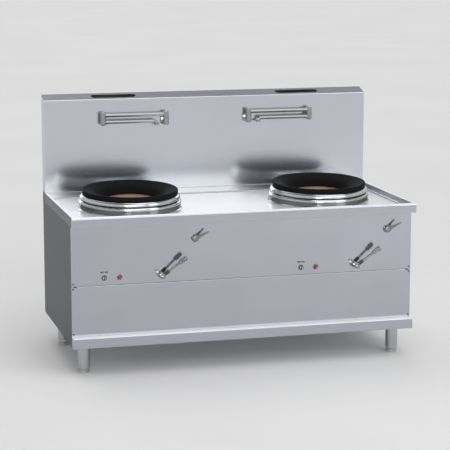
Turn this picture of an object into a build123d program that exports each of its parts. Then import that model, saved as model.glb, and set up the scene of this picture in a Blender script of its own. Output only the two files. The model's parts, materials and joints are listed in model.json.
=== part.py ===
from build123d import *
import math
import os

# Stainless double wok range, in millimetres.
# +X runs along the front to the right, +Y to the back, +Z up. The origin is on the floor,
# under the centre of the bounding box.

# ---------------------------------------------------------------- overall sizes
WIDTH = 1800.0             # over the worktop
DEPTH = 905.0              # from the front apron to the back
RIM_HEIGHT = 815.0         # top of the worktop rim above the floor
UNDERSIDE = 148.0          # bottom of the body above the floor
SPLASH_RISE = 495.0        # front top edge of the splashback above the rim
SPLASH_SLOPE_RISE = 25.0   # back top edge above the front top edge
SPLASH_DEPTH = 83.0        # thickness of the hollow splashback

# ---------------------------------------------------------------- sheet metal
DECK_SHEET = 1.5
PANEL_SHEET = 1.2
DUCT_SHEET = 1.5
BEND = 3.0                 # usual outside bend radius
NOSE_RADIUS = 12.0         # rolled front edge of the worktop
RIM_WIDTH = 18.0           # flat top of the rim round the tray
TRAY_DEPTH = 34.0          # tray floor below the rim
APRON_HEIGHT = 50.0        # outer skirt of the worktop
SIDE_STEP = 3.0            # worktop past the body at each side
PANEL_SETBACK = 65.0       # front panels behind the apron
RAIL_SETBACK = 21.0        # toe rail behind the apron
RAIL_HEIGHT = 52.0
SEAM_HEIGHT = 458.0        # joint between the two front panels above the floor
SEAM_GAP = 2.0
FLANGE = 20.0              # returns of the folded panels

# ---------------------------------------------------------------- frame and legs
POST = 30.0                # square tube of the frame
POST_WALL = 2.0
LEG_INSET = 74.0           # leg axes in from the sides of the worktop
LEG_FRONT_SETBACK = 140.0  # front leg axis behind the apron
LEG_REAR_INSET = 174.0     # rear leg axis in front of the back
LEG_RADIUS = 31.75
LEG_WALL = 1.5
LEG_PLATE = 100.0
LEG_PLATE_THICKNESS = 4.0
LEG_NUT = 14.0             # threaded plug welded into the leg's lower end
FOOT_RADIUS = 28.0
FOOT_HEIGHT = 28.0
FOOT_CHAMFER = 3.0
STEM_RADIUS = 8.0
STEM_LENGTH = 55.0
RUNNING_FIT = 0.08         # radial clearance of shafts in their bores
FACE_GAP = 0.3             # between faces that part or turn on each other

# ---------------------------------------------------------------- burners
BURNER_INSET = 386.0       # burner axes in from the sides of the worktop
BURNER_SETBACK = 452.0     # burner axis behind the apron
TILT = 2.3                 # degrees: collar and ring lean towards the cook
DECK_HOLE_RADIUS = 235.0
COLLAR_RADIUS = 265.0      # outside of the collar wall
COLLAR_SHEET = 2.0
COLLAR_SEAT = 75.0         # ring seat above the tray floor
COLLAR_LIP_RADIUS = 255.0
COLLAR_GROOVE_RADIUS = 250.0
COLLAR_BEAD_RADIUS = 267.0
SEAT_WIDTH = 19.0          # inward flange that the ring stands on
RING_RADIUS = 249.0
RING_EDGE = 26.0           # height of the ring's outer edge
RING_FIT = 3.0             # ring spigot inside the collar flange
RING_THROAT_RADIUS = 132.0
RING_STEP_RADIUS = 162.0   # where the shallow cone meets the steep one
RING_STEP_DROP = 28.0
RING_DROP = 50.0           # top of the throat below the ring's top
RING_THICKNESS = 11.0
RING_SKIRT = 6.0           # spigot below the seat
RING_NOTCH = 9.0
RING_NOTCH_ANGLES = (178.0, -2.0)
CHAMBER_RADIUS = 230.0
CHAMBER_SHEET = 2.0
CHAMBER_DEPTH = 180.0      # chamber floor below the tray floor
CHAMBER_FLANGE = 18.0
LINING_RISE = 44.0         # lining top above the tray floor
LINING_MOUTH_RADIUS = 203.0
LINING_HOLE_RADIUS = 90.0
LINING_FLOOR = 38.0        # refractory under the bowl
LINING_TAPER = 24.0        # mouth radius less the radius at the port
BRICK_JOINT = 0.6
LOWER_BRICKS = 12
UPPER_BRICKS = 10
HEAD_RADIUS = 72.0
HEAD_HEIGHT = 44.0
JET_COUNT = 12
JET_RADIUS = 7.0
JET_HEIGHT = 10.0
PILOT_RADIUS = 5.0
PORT_WIDTH = 160.0         # flue port in the chamber
PORT_HEIGHT = 46.0
PORT_DROP = 54.0           # centre of the port below the tray floor
FLUE_WIDTH = 256.0
FLUE_HEIGHT = 60.0
FLUE_DEPTH = 62.0          # riser in the splashback
SLOT_LENGTH = 243.0
SLOT_WIDTH = 46.0
SLOT_SETBACK = 42.5        # slot axis behind the splashback face

# ---------------------------------------------------------------- controls, from each burner axis
CONTROL_RISE = 38.0        # switch, igniter and gas spindle above the panel seam
SWITCH_OFFSET = -217.0
IGNITER_OFFSET = -138.0
GAS_OFFSET = 75.0
WATER_OFFSET = 250.0
WATER_DROP = 139.0         # water spindle below the rim
LEVER_STANDOFF = 50.0      # lever arms in front of the panel
LEVER_ANGLE = 40.0         # degrees above horizontal at rest
LEVER_HUB_RADIUS = 14.0
LEVER_HUB_LENGTH = 58.0
LEVER_ROD_RADIUS = 6.0
LEVER_SLEEVE_RADIUS = 9.5
LEVER_SLEEVE_LENGTH = 42.0
GRIP_RADIUS = 12.0
GRIP_START = 108.0         # from the spindle axis
GRIP_LENGTH = 46.0
SPINDLE_RADIUS = 7.0
SPINDLE_LENGTH = 48.0      # behind the panel
PANEL_HOLE_GAP = 2.0
HUB_GAP = 1.0              # knobs and hubs clear the panel
WATER_HUB_RADIUS = 19.0
WATER_HUB_LENGTH = 20.0
WATER_LEVER_RUN = 56.0
WATER_LEVER_RISE = 37.0
WATER_LEVER_OUT = 50.0
WATER_BLADE_ROOT = 10.0    # half width of the lever at the hub
WATER_BLADE_TIP = 4.0
WATER_BLADE_FLATNESS = 0.7 # thickness of the lever over its width
WATER_SPINDLE_RADIUS = 5.0
BEZEL_RADIUS = 15.0
BEZEL_THICKNESS = 3.0
BARREL_RADIUS = 12.5
BARREL_LENGTH = 26.0
KNOB_RADIUS = 11.0
KNOB_HEIGHT = 13.0
KNOB_SHAFT_RADIUS = 3.0
BUTTON_RADIUS = 9.5
BUTTON_HEIGHT = 8.0
BUTTON_TRAVEL = 4.0
BUTTON_FIT = 0.3
SCREW_RADIUS = 4.5
SCREW_HEAD = 2.5
SCREW_INSET = 9.0

# ---------------------------------------------------------------- valves and pipes
VALVE_RADIUS = 32.0
VALVE_LENGTH = 96.0
VALVE_SETBACK = 48.0       # pipe connections behind the panel
MANIFOLD_RADIUS = 17.0
MANIFOLD_SHARE = 0.4366    # height of the gas manifold between spindles and water supply
MANIFOLD_INSET = 120.0     # gas inlet in from the side of the worktop
AIR_RADIUS = 25.0
AIR_DROP = 60.0            # air pipe flange below the spindle
MIX_DROP = 70.0            # run from the valve to the burner, below the spindle
MIX_LEAD = 34.0            # straight part behind the valve before it turns down
PIPE_WALL = 2.0
WATER_VALVE_RADIUS = 20.0
WATER_VALVE_LENGTH = 62.0
WATER_RADIUS = 11.0
WATER_SUPPLY_DROP = 38.0
WATER_RISER_RISE = 56.0
WATER_INSET = 65.0         # water inlet in from the side of the worktop
INLET_INSET = 4.0          # pipe ends inside the back face
GAS_THREAD_RADIUS = 13.2   # male end of the gas inlet
GAS_THREAD_LENGTH = 25.0
WATER_THREAD_RADIUS = 10.5 # male end of the water inlet
WATER_THREAD_LENGTH = 20.0
THREAD_WALL = 3.0
SERVICE_HOLE_RADIUS = 36.0

# ---------------------------------------------------------------- blowers
BLOWER_OFFSET = -160.0     # from the burner axis
BLOWER_Y = 100.0           # front of the housing behind the burner axis
SCROLL_RADIUS = 125.0
SCROLL_WIDTH = 90.0
SCROLL_SHEET = 2.0
SCROLL_INLET_RADIUS = 60.0
SCROLL_STAND = 25.0
OUTLET_HEIGHT = 66.0
OUTLET_REACH = 60.0
IMPELLER_RADIUS = 98.0
IMPELLER_WIDTH = 56.0
BLADE_COUNT = 12
BLADE_THICKNESS = 2.5
BLADE_DEPTH = 26.0
BLADE_ANGLE = 28.0
MOTOR_RADIUS = 62.0
MOTOR_LENGTH = 130.0
SHAFT_RADIUS = 8.0
SHAFT_LENGTH = 60.0
VENT_LENGTH = 150.0        # cooling slots in the rear panel
VENT_WIDTH = 8.0
VENT_ROWS = 6
VENT_PITCH = 22.0
VENT_RISE = 80.0           # lowest slot above the shelf

# ---------------------------------------------------------------- swing taps
TAP_LEFT_OFFSET = 272.0    # column axes of the two taps, from their burners towards the middle
TAP_RIGHT_OFFSET = 294.0
TAP_STANDOFF = 38.0        # tap tubes in front of the splashback
TAP_RISE = 411.0           # tap arm above the rim
TAP_DROP = 36.0            # spout below the arm
TAP_REACH = 345.0          # column to knuckle
SPOUT_REACH = 292.0        # knuckle to outlet
SPOUT_BEND = 18.0
OUTLET_DROP = 20.0
ARM_RADIUS = 10.0
SPOUT_RADIUS = 9.5
TAP_HUB_RADIUS = 14.5
TAP_HUB_HALF = 14.5
TAP_PIN_RADIUS = 8.0
TAP_FLANGE_RADIUS = 24.0
TAP_FLANGE_THICKNESS = 5.0
COLUMN_RADIUS = 15.0
COLUMN_TAIL = 22.0         # column below the spout axis
NOZZLE_RADIUS = 11.5
NOZZLE_LENGTH = 12.0

# ---------------------------------------------------------------- electrics
BOX_WIDTH = 240.0
BOX_DEPTH = 90.0
BOX_HEIGHT = 150.0
BOX_SHEET = 1.5
GLAND_RADIUS = 11.0
GLAND_Z = 400.0

# ---------------------------------------------------------------- places worked out from the sizes
FRONT = -DEPTH / 2
BACK = DEPTH / 2
SPLASH_Y = BACK - SPLASH_DEPTH
PANEL_Y = FRONT + PANEL_SETBACK
RAIL_Y = FRONT + RAIL_SETBACK
BODY_X = WIDTH / 2 - SIDE_STEP
DECK_Z = RIM_HEIGHT - TRAY_DEPTH
DECK_UNDER = DECK_Z - DECK_SHEET
RAIL_TOP = UNDERSIDE + RAIL_HEIGHT
SHELF_Z = UNDERSIDE + PANEL_SHEET
SHELF_TOP = SHELF_Z + DECK_SHEET
SPLASH_TOP = RIM_HEIGHT + SPLASH_RISE
BURNER_Y = FRONT + BURNER_SETBACK
CHAMBER_FLOOR = DECK_Z - CHAMBER_DEPTH
POST_X = BODY_X - PANEL_SHEET - POST / 2
POST_FRONT_Y = PANEL_Y + 2 * PANEL_SHEET + POST / 2
POST_REAR_Y = BACK - 2 * PANEL_SHEET - POST / 2
VALVE_Y = PANEL_Y + VALVE_SETBACK
TAP_Y = SPLASH_Y - TAP_STANDOFF
TAP_ARM_HEIGHT = RIM_HEIGHT + TAP_RISE
SPOUT_Z = TAP_ARM_HEIGHT - TAP_DROP
KNUCKLE_SPLIT = TAP_ARM_HEIGHT - TAP_DROP / 2
RISER_Y = SPLASH_Y + SLOT_SETBACK
CAP_SLOPE = SPLASH_SLOPE_RISE / SPLASH_DEPTH
LEG_X = WIDTH / 2 - LEG_INSET
CONTROL_HEIGHT = SEAM_HEIGHT + CONTROL_RISE
WATER_HEIGHT = RIM_HEIGHT - WATER_DROP
SUPPLY_Z = WATER_HEIGHT - WATER_SUPPLY_DROP
MANIFOLD_Z = CONTROL_HEIGHT + MANIFOLD_SHARE * (SUPPLY_Z - CONTROL_HEIGHT)
MANIFOLD_X = WIDTH / 2 - MANIFOLD_INSET
WATER_INLET_X = WIDTH / 2 - WATER_INSET
SCROLL_Y = BURNER_Y + BLOWER_Y
SCROLL_MID_Y = SCROLL_Y + SCROLL_WIDTH / 2
SCROLL_Z = SHELF_TOP + SCROLL_STAND + SCROLL_RADIUS
OUTLET_Z = SCROLL_Z - SCROLL_RADIUS + OUTLET_HEIGHT / 2
SIDES = {"left": -1, "right": 1}


def burner_x(side):
    return SIDES[side] * (WIDTH / 2 - BURNER_INSET)


TAP_LEFT_X = burner_x("left") + TAP_LEFT_OFFSET
TAP_RIGHT_X = burner_x("right") - TAP_RIGHT_OFFSET


def cap_under(y):
    """Height of the underside of the splashback's sloping top at a depth."""
    sheet = PANEL_SHEET * math.hypot(1, CAP_SLOPE)
    return SPLASH_TOP + CAP_SLOPE * (y - SPLASH_Y) - sheet


# ---------------------------------------------------------------- helpers
def block(x0, x1, y0, y1, z0, z1):
    """A box between two corners."""
    centre = Pos((x0 + x1) / 2, (y0 + y1) / 2, (z0 + z1) / 2)
    return centre * Box(x1 - x0, y1 - y0, z1 - z0)


def rod(radius, start, direction, length):
    """A cylinder from a start point along a direction."""
    base = (Align.CENTER, Align.CENTER, Align.MIN)
    return Plane(origin=start, z_dir=direction) * Cylinder(radius, length, align=base)


def pipe(points, radius, wall, bend):
    """A tube along straight runs joined by bends."""
    path = FilletPolyline(*points, radius=bend)
    section = Circle(radius) - Circle(radius - wall)
    return sweep(Plane(path @ 0, z_dir=path % 0) * section, path=path)


def turned(points, centre):
    """A solid of revolution about the vertical through a point, from (radius, height) points."""
    face = Plane.XZ * make_face(Polyline(*points, close=True))
    return Pos(*centre) * revolve(face, axis=Axis.Z)


def folded(points, sheet, bends):
    """The section of a folded sheet whose outside follows the points, with its metal on the right."""
    outside = FilletPolyline(*points, radius=bends)
    return make_face(outside.wire().offset_2d(sheet, side=Side.RIGHT).edges())


def along_x(section, x0, x1):
    """A (y, z) section drawn out along X."""
    return Pos(x0, 0, 0) * extrude(Plane.YZ * section, x1 - x0)


def square_tube(x0, x1, y0, y1, z0, z1, axis):
    """A square tube of the frame, hollow along one axis."""
    low = [x0, y0, z0]
    high = [x1, y1, z1]
    for i in range(3):
        if i != axis:
            low[i] += POST_WALL
            high[i] -= POST_WALL
    return block(x0, x1, y0, y1, z0, z1) - block(low[0], high[0], low[1], high[1], low[2], high[2])


# ---------------------------------------------------------------- worktop
def worktop_deck():
    """Tray floor with the two burner holes."""
    half = WIDTH / 2 - DECK_SHEET
    deck = block(-half, half, FRONT + DECK_SHEET, SPLASH_Y + DECK_SHEET, DECK_UNDER, DECK_Z)
    for side in SIDES:
        deck -= rod(DECK_HOLE_RADIUS, (burner_x(side), BURNER_Y, DECK_UNDER - 1), (0, 0, 1), 5)
    return deck


def worktop_rear_edge():
    """Upstand along the back of the tray, below the splashback."""
    half = WIDTH / 2 - DECK_SHEET
    return block(-half, half, SPLASH_Y, SPLASH_Y + DECK_SHEET, DECK_Z, RIM_HEIGHT)


def worktop_front_edge():
    """Front rim: apron, rolled nose, flat top and inner wall, with its ends closed."""
    low = RIM_HEIGHT - APRON_HEIGHT
    inner = FRONT + RIM_WIDTH
    points = [(FRONT, low), (FRONT, RIM_HEIGHT), (inner, RIM_HEIGHT), (inner, DECK_Z)]
    edge = along_x(folded(points, DECK_SHEET, [NOSE_RADIUS, BEND]), -WIDTH / 2, WIDTH / 2)
    outside = FilletPolyline(*points, radius=[NOSE_RADIUS, BEND])
    closing = Polyline((inner, DECK_Z), (inner, low), (FRONT, low))
    end = make_face(outside.edges() + closing.edges())
    edge += along_x(end, -WIDTH / 2, -WIDTH / 2 + DECK_SHEET)
    edge += along_x(end, WIDTH / 2 - DECK_SHEET, WIDTH / 2)
    return edge


def worktop_side_edges():
    """Left and right rims, from the front rim back to the upstand."""
    outer = WIDTH / 2
    inner = outer - RIM_WIDTH
    points = [(-outer, RIM_HEIGHT - APRON_HEIGHT), (-outer, RIM_HEIGHT), (-inner, RIM_HEIGHT), (-inner, DECK_Z)]
    section = folded(points, DECK_SHEET, [BEND, BEND])
    length = SPLASH_Y - FRONT - RIM_WIDTH
    left = Pos(0, SPLASH_Y, 0) * extrude(Plane.XZ * section, length)
    return left + mirror(left, about=Plane.YZ)


# ---------------------------------------------------------------- splashback
def splashback_front():
    """Front sheet folded back over the top, with the flue slots and the tap holes."""
    points = [(SPLASH_Y, RIM_HEIGHT), (SPLASH_Y, SPLASH_TOP), (BACK, SPLASH_TOP + SPLASH_SLOPE_RISE)]
    sheet = along_x(folded(points, PANEL_SHEET, [BEND]), -BODY_X, BODY_X)
    sheet &= block(-BODY_X, BODY_X, SPLASH_Y, BACK, RIM_HEIGHT, SPLASH_TOP + SPLASH_SLOPE_RISE)
    slot = extrude(SlotOverall(SLOT_LENGTH, SLOT_WIDTH), SPLASH_SLOPE_RISE * 2)
    for side in SIDES:
        sheet -= Pos(burner_x(side), RISER_Y, SPLASH_TOP - SPLASH_SLOPE_RISE) * slot
    for x in (TAP_LEFT_X, TAP_RIGHT_X):
        sheet -= rod(WATER_RADIUS + PANEL_HOLE_GAP, (x, SPLASH_Y - 1, SPOUT_Z), (0, 1, 0), 5)
    return sheet


def splashback_back():
    """Rear cover with side returns that reach the front sheet."""
    front = SPLASH_Y + PANEL_SHEET
    side = make_face(Polyline(
        (front, RIM_HEIGHT), (BACK, RIM_HEIGHT), (BACK, cap_under(BACK)),
        (front + BEND, cap_under(front + BEND)), (front, cap_under(front) - BEND), close=True,
    ))
    cover = along_x(side, -BODY_X, BODY_X)
    inner = make_face(Polyline(
        (front - 5, RIM_HEIGHT - 5), (BACK - PANEL_SHEET, RIM_HEIGHT - 5),
        (BACK - PANEL_SHEET, cap_under(BACK) + 5), (front - 5, cap_under(front) + 5), close=True,
    ))
    return cover - along_x(inner, -BODY_X + PANEL_SHEET, BODY_X - PANEL_SHEET)


# ---------------------------------------------------------------- body panels
def side_panel(sign):
    """Side sheet with bottom and rear returns; its rear part rises to the splashback."""
    front = PANEL_Y + PANEL_SHEET
    step = SPLASH_Y + DECK_SHEET
    outline = make_face(Polyline(
        (front, UNDERSIDE), (BACK, UNDERSIDE), (BACK, RIM_HEIGHT), (step, RIM_HEIGHT),
        (step, DECK_UNDER), (front, DECK_UNDER), close=True,
    ))
    panel = along_x(outline, BODY_X - PANEL_SHEET, BODY_X)
    panel += block(BODY_X - FLANGE, BODY_X, front, BACK, UNDERSIDE, SHELF_Z)
    panel += block(BODY_X - FLANGE, BODY_X, BACK - PANEL_SHEET, BACK, UNDERSIDE, RIM_HEIGHT)
    return panel if sign > 0 else mirror(panel, about=Plane.YZ)


def rear_panel():
    """Back sheet with cooling slots for the blowers and clear holes round the inlets."""
    half = BODY_X - PANEL_SHEET
    y0 = BACK - 2 * PANEL_SHEET
    panel = block(-half, half, y0, BACK - PANEL_SHEET, SHELF_TOP, RIM_HEIGHT)
    across = Plane(origin=(0, y0 - 1, 0), x_dir=(1, 0, 0), z_dir=(0, 1, 0))
    vent = extrude(across * SlotOverall(VENT_LENGTH, VENT_WIDTH), 5)
    for side in SIDES:
        for row in range(VENT_ROWS):
            height = SHELF_TOP + VENT_RISE + row * VENT_PITCH
            panel -= Pos(burner_x(side) + BLOWER_OFFSET, 0, height) * vent
    for x, z in ((MANIFOLD_X, MANIFOLD_Z), (WATER_INLET_X, SUPPLY_Z)):
        panel -= rod(SERVICE_HOLE_RADIUS, (x, y0 - 1, z), (0, 1, 0), 5)
    return panel - rod(GLAND_RADIUS, (0, y0 - 1, GLAND_Z), (0, 1, 0), 5)


def bottom_shelf():
    """Floor of the body, on the bottom returns of the side panels."""
    half = BODY_X - PANEL_SHEET
    return block(-half, half, PANEL_Y + PANEL_SHEET, BACK - PANEL_SHEET, SHELF_Z, SHELF_TOP)


def control_holes():
    """Tools that cut the openings of spindles and bezels through the front panel."""
    tools = []
    for side in SIDES:
        x = burner_x(side)
        tools.append((x + GAS_OFFSET, CONTROL_HEIGHT, SPINDLE_RADIUS + PANEL_HOLE_GAP))
        tools.append((x + WATER_OFFSET, WATER_HEIGHT, WATER_SPINDLE_RADIUS + PANEL_HOLE_GAP))
        tools.append((x + SWITCH_OFFSET, CONTROL_HEIGHT, BARREL_RADIUS))
        tools.append((x + IGNITER_OFFSET, CONTROL_HEIGHT, BARREL_RADIUS))
    return [rod(radius, (x, PANEL_Y - 1, z), (0, 1, 0), 5) for x, z, radius in tools]


def front_panel(z0, z1, flange_z):
    """A front sheet with a return along the seam."""
    inner = BODY_X - PANEL_SHEET - POST - SEAM_GAP
    panel = block(-BODY_X, BODY_X, PANEL_Y, PANEL_Y + PANEL_SHEET, z0, z1)
    return panel + block(-inner, inner, PANEL_Y, PANEL_Y + FLANGE, flange_z, flange_z + PANEL_SHEET)


def control_panel():
    low = SEAM_HEIGHT + SEAM_GAP / 2
    panel = front_panel(low, DECK_UNDER, low)
    for tool in control_holes():
        panel -= tool
    return panel


def access_panel():
    high = SEAM_HEIGHT - SEAM_GAP / 2
    return front_panel(RAIL_TOP + SEAM_GAP / 2, high, high - PANEL_SHEET)


def toe_rail():
    """Folded rail under the lower front panel, with a ledge on top and closed ends."""
    behind = PANEL_Y + PANEL_SHEET
    points = [(behind, UNDERSIDE), (RAIL_Y, UNDERSIDE), (RAIL_Y, RAIL_TOP), (behind, RAIL_TOP), (behind, RAIL_TOP + FLANGE)]
    section = folded(points, PANEL_SHEET, [BEND, BEND, PANEL_SHEET / 2])
    rail = along_x(section, -BODY_X, BODY_X)
    end = Plane.YZ * Pos((RAIL_Y + behind) / 2, UNDERSIDE + RAIL_HEIGHT / 2) * RectangleRounded(
        behind - RAIL_Y, RAIL_HEIGHT, PANEL_SHEET
    )
    rail += Pos(-BODY_X, 0, 0) * extrude(end, PANEL_SHEET)
    rail += Pos(BODY_X - PANEL_SHEET, 0, 0) * extrude(end, PANEL_SHEET)
    clear = BODY_X - PANEL_SHEET
    for x0, x1 in ((-BODY_X, -clear), (clear, BODY_X)):
        rail -= block(x0, x1, behind, behind + FLANGE, RAIL_TOP - FLANGE, RAIL_TOP + 2 * FLANGE)
    return rail


def panel_screws():
    """Pan-head screws at the corners of the front panels."""
    x = BODY_X - SCREW_INSET
    heights = [RAIL_TOP + 1.6 * SCREW_INSET, SEAM_HEIGHT - 1.4 * SCREW_INSET, SEAM_HEIGHT + 1.4 * SCREW_INSET]
    head = rod(SCREW_RADIUS, (0, PANEL_Y, 0), (0, -1, 0), SCREW_HEAD)
    head = fillet(head.edges().sort_by(Axis.Y)[0], SCREW_HEAD * 0.6)
    screws = Part()
    for place in (-x, x):
        for z in heights:
            screws += Pos(place, 0, z) * head
    return screws


# ---------------------------------------------------------------- frame and legs
def frame_posts():
    posts = Part()
    half = POST / 2
    for x in (-POST_X, POST_X):
        for y in (POST_FRONT_Y, POST_REAR_Y):
            posts += square_tube(x - half, x + half, y - half, y + half, SHELF_TOP, DECK_UNDER, 2)
    return posts


def frame_rails():
    """Front, rear and side rails between the posts."""
    rails = Part()
    half = POST / 2
    x = POST_X - half
    top = DECK_UNDER - POST
    rails += square_tube(-x, x, POST_FRONT_Y - half, POST_FRONT_Y + half, top, DECK_UNDER, 0)
    for y in (POST_FRONT_Y, POST_REAR_Y):
        rails += square_tube(-x, x, y - half, y + half, SHELF_TOP, SHELF_TOP + POST, 0)
    for side in (-POST_X, POST_X):
        for z in (SHELF_TOP, top):
            rails += square_tube(
                side - half, side + half, POST_FRONT_Y + half, POST_REAR_Y - half, z, z + POST, 1
            )
    return rails


def leg_places():
    return {
        "front_left": (-LEG_X, FRONT + LEG_FRONT_SETBACK),
        "front_right": (LEG_X, FRONT + LEG_FRONT_SETBACK),
        "rear_left": (-LEG_X, BACK - LEG_REAR_INSET),
        "rear_right": (LEG_X, BACK - LEG_REAR_INSET),
    }


def legs():
    """Leg tubes with a welded plate above and a threaded plug in the lower end."""
    group = Part()
    low = FOOT_HEIGHT + FACE_GAP
    height = SHELF_Z - LEG_PLATE_THICKNESS - low
    for x, y in leg_places().values():
        leg = rod(LEG_RADIUS, (x, y, low), (0, 0, 1), height)
        leg -= rod(LEG_RADIUS - LEG_WALL, (x, y, low + LEG_NUT), (0, 0, 1), height)
        leg += block(
            x - LEG_PLATE / 2, x + LEG_PLATE / 2, y - LEG_PLATE / 2, y + LEG_PLATE / 2,
            SHELF_Z - LEG_PLATE_THICKNESS, SHELF_Z,
        )
        leg -= rod(STEM_RADIUS + RUNNING_FIT, (x, y, low - 1), (0, 0, 1), LEG_NUT + 2)
        group += leg
    return group


def foot(x, y):
    """Levelling foot: a chamfered pad and its screwed stem."""
    base = rod(FOOT_RADIUS, (x, y, 0), (0, 0, 1), FOOT_HEIGHT)
    base = chamfer(base.edges().filter_by(GeomType.CIRCLE).sort_by(Axis.Z)[0], FOOT_CHAMFER)
    return base + rod(STEM_RADIUS, (x, y, FOOT_HEIGHT), (0, 0, 1), STEM_LENGTH)


# ---------------------------------------------------------------- burners
def lean(shape, side):
    """Puts a piece drawn on the tray floor at a burner, leaning towards the front."""
    return Location((burner_x(side), BURNER_Y, DECK_Z), (TILT, 0, 0)) * shape


def burner_collar(side):
    """Spun collar: ring seat, rolled lip, groove, bead and wall, cut off level on the tray."""
    seat = COLLAR_SEAT
    inner = COLLAR_LIP_RADIUS - SEAT_WIDTH
    points = [
        (inner, seat), (COLLAR_LIP_RADIUS, seat), (COLLAR_LIP_RADIUS, seat - 21),
        (COLLAR_GROOVE_RADIUS, seat - 26), (COLLAR_BEAD_RADIUS, seat - 28), (COLLAR_BEAD_RADIUS, seat - 39),
        (COLLAR_RADIUS, seat - 43), (COLLAR_RADIUS, -DECK_HOLE_RADIUS / 10),
    ]
    section = folded(points, COLLAR_SHEET, [6, 5, 1.5, 5, 4, 3])
    collar = lean(revolve(Plane.XZ * section, axis=Axis.Z), side)
    reach = COLLAR_BEAD_RADIUS + 10
    x = burner_x(side)
    return collar - block(x - reach, x + reach, BURNER_Y - reach, BURNER_Y + reach, DECK_Z - 60, DECK_Z)


def wok_ring(side):
    """Cast ring: outer edge, flat top, shallow and steep cone, throat, and a spigot in the collar."""
    top = COLLAR_SEAT + RING_EDGE
    spigot = COLLAR_LIP_RADIUS - SEAT_WIDTH - RING_FIT
    step = top - RING_STEP_DROP
    throat = top - RING_DROP
    foot = COLLAR_SEAT + FACE_GAP
    skirt = spigot - RING_THICKNESS
    flat = RING_RADIUS - 12
    under = top - RING_STEP_DROP * (flat - skirt) / (flat - RING_STEP_RADIUS) - RING_THICKNESS
    points = [
        (RING_RADIUS, foot), (RING_RADIUS, top - 4), (RING_RADIUS - 4, top), (flat, top),
        (RING_STEP_RADIUS, step), (RING_THROAT_RADIUS, throat), (RING_THROAT_RADIUS, throat - 7),
        (RING_THROAT_RADIUS + 8, throat - 7), (RING_STEP_RADIUS + 3, step - RING_THICKNESS),
        (skirt, under), (skirt, foot - RING_SKIRT), (spigot, foot - RING_SKIRT), (spigot, foot),
    ]
    ring = turned(points, (0, 0, 0))
    for angle in RING_NOTCH_ANGLES:
        notch = block(-RING_NOTCH / 2, RING_NOTCH / 2, RING_RADIUS - 8, RING_RADIUS + 1, COLLAR_SEAT, COLLAR_SEAT + 7)
        ring -= Rot(0, 0, angle) * notch
    return lean(ring, side)


def chamber_port(x):
    """The block that cuts the flue port at the back of a chamber."""
    z = DECK_Z - PORT_DROP
    return block(
        x - PORT_WIDTH / 2, x + PORT_WIDTH / 2, BURNER_Y, BURNER_Y + CHAMBER_RADIUS + 20,
        z - PORT_HEIGHT / 2, z + PORT_HEIGHT / 2,
    )


def combustion_chamber(side):
    """Steel drum that hangs in the deck hole by its flange, with the flue port behind."""
    x = burner_x(side)
    inner = CHAMBER_RADIUS - CHAMBER_SHEET
    floor = CHAMBER_FLOOR
    points = [
        (AIR_RADIUS - PIPE_WALL, floor), (CHAMBER_RADIUS, floor), (CHAMBER_RADIUS, DECK_Z),
        (CHAMBER_RADIUS + CHAMBER_FLANGE, DECK_Z), (CHAMBER_RADIUS + CHAMBER_FLANGE, DECK_Z + CHAMBER_SHEET),
        (inner, DECK_Z + CHAMBER_SHEET), (inner, floor + CHAMBER_SHEET), (AIR_RADIUS - PIPE_WALL, floor + CHAMBER_SHEET),
    ]
    return turned(points, (x, BURNER_Y, 0)) - chamber_port(x)


def brick(points, centre, start, stop):
    """One refractory brick: the (radius, height) section turned between two angles."""
    face = Plane.XZ * make_face(Polyline(*points, close=True))
    joint = math.degrees(BRICK_JOINT / LINING_MOUTH_RADIUS)
    solid = revolve(face, axis=Axis.Z, revolution_arc=stop - start - joint)
    return Pos(*centre) * (Rot(0, 0, start + joint / 2) * solid)


def fire_lining(side):
    """Two courses of refractory bricks round the fire, with the flue port under a wide brick behind."""
    centre = (burner_x(side), BURNER_Y, 0)
    outer = CHAMBER_RADIUS - CHAMBER_SHEET
    base = CHAMBER_FLOOR + CHAMBER_SHEET
    top = DECK_Z + LINING_RISE
    bowl = base + LINING_FLOOR
    course = DECK_Z - PORT_DROP - PORT_HEIGHT / 2
    lintel = course + PORT_HEIGHT
    throat = LINING_MOUTH_RADIUS - LINING_TAPER
    lower = [
        (LINING_HOLE_RADIUS, base), (outer, base), (outer, course), (throat, course),
        (throat - 36, bowl + 22), (LINING_HOLE_RADIUS, bowl),
    ]
    upper = [(throat, course + BRICK_JOINT), (outer, course + BRICK_JOINT), (outer, top), (LINING_MOUTH_RADIUS, top)]
    above = LINING_MOUTH_RADIUS - LINING_TAPER * (top - lintel) / (top - course)
    over = [(above, lintel + BRICK_JOINT), (outer, lintel + BRICK_JOINT), (outer, top), (LINING_MOUTH_RADIUS, top)]
    half = math.degrees(math.asin(PORT_WIDTH / 2 / LINING_MOUTH_RADIUS))
    bricks = [brick(over, centre, 90 - half, 90 + half)]
    for i in range(LOWER_BRICKS):
        bricks.append(brick(lower, centre, 360 * i / LOWER_BRICKS, 360 * (i + 1) / LOWER_BRICKS))
    step = (360 - 2 * half) / UPPER_BRICKS
    for i in range(UPPER_BRICKS):
        bricks.append(brick(upper, centre, 90 + half + i * step, 90 + half + (i + 1) * step))
    return Part() + bricks


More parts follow.
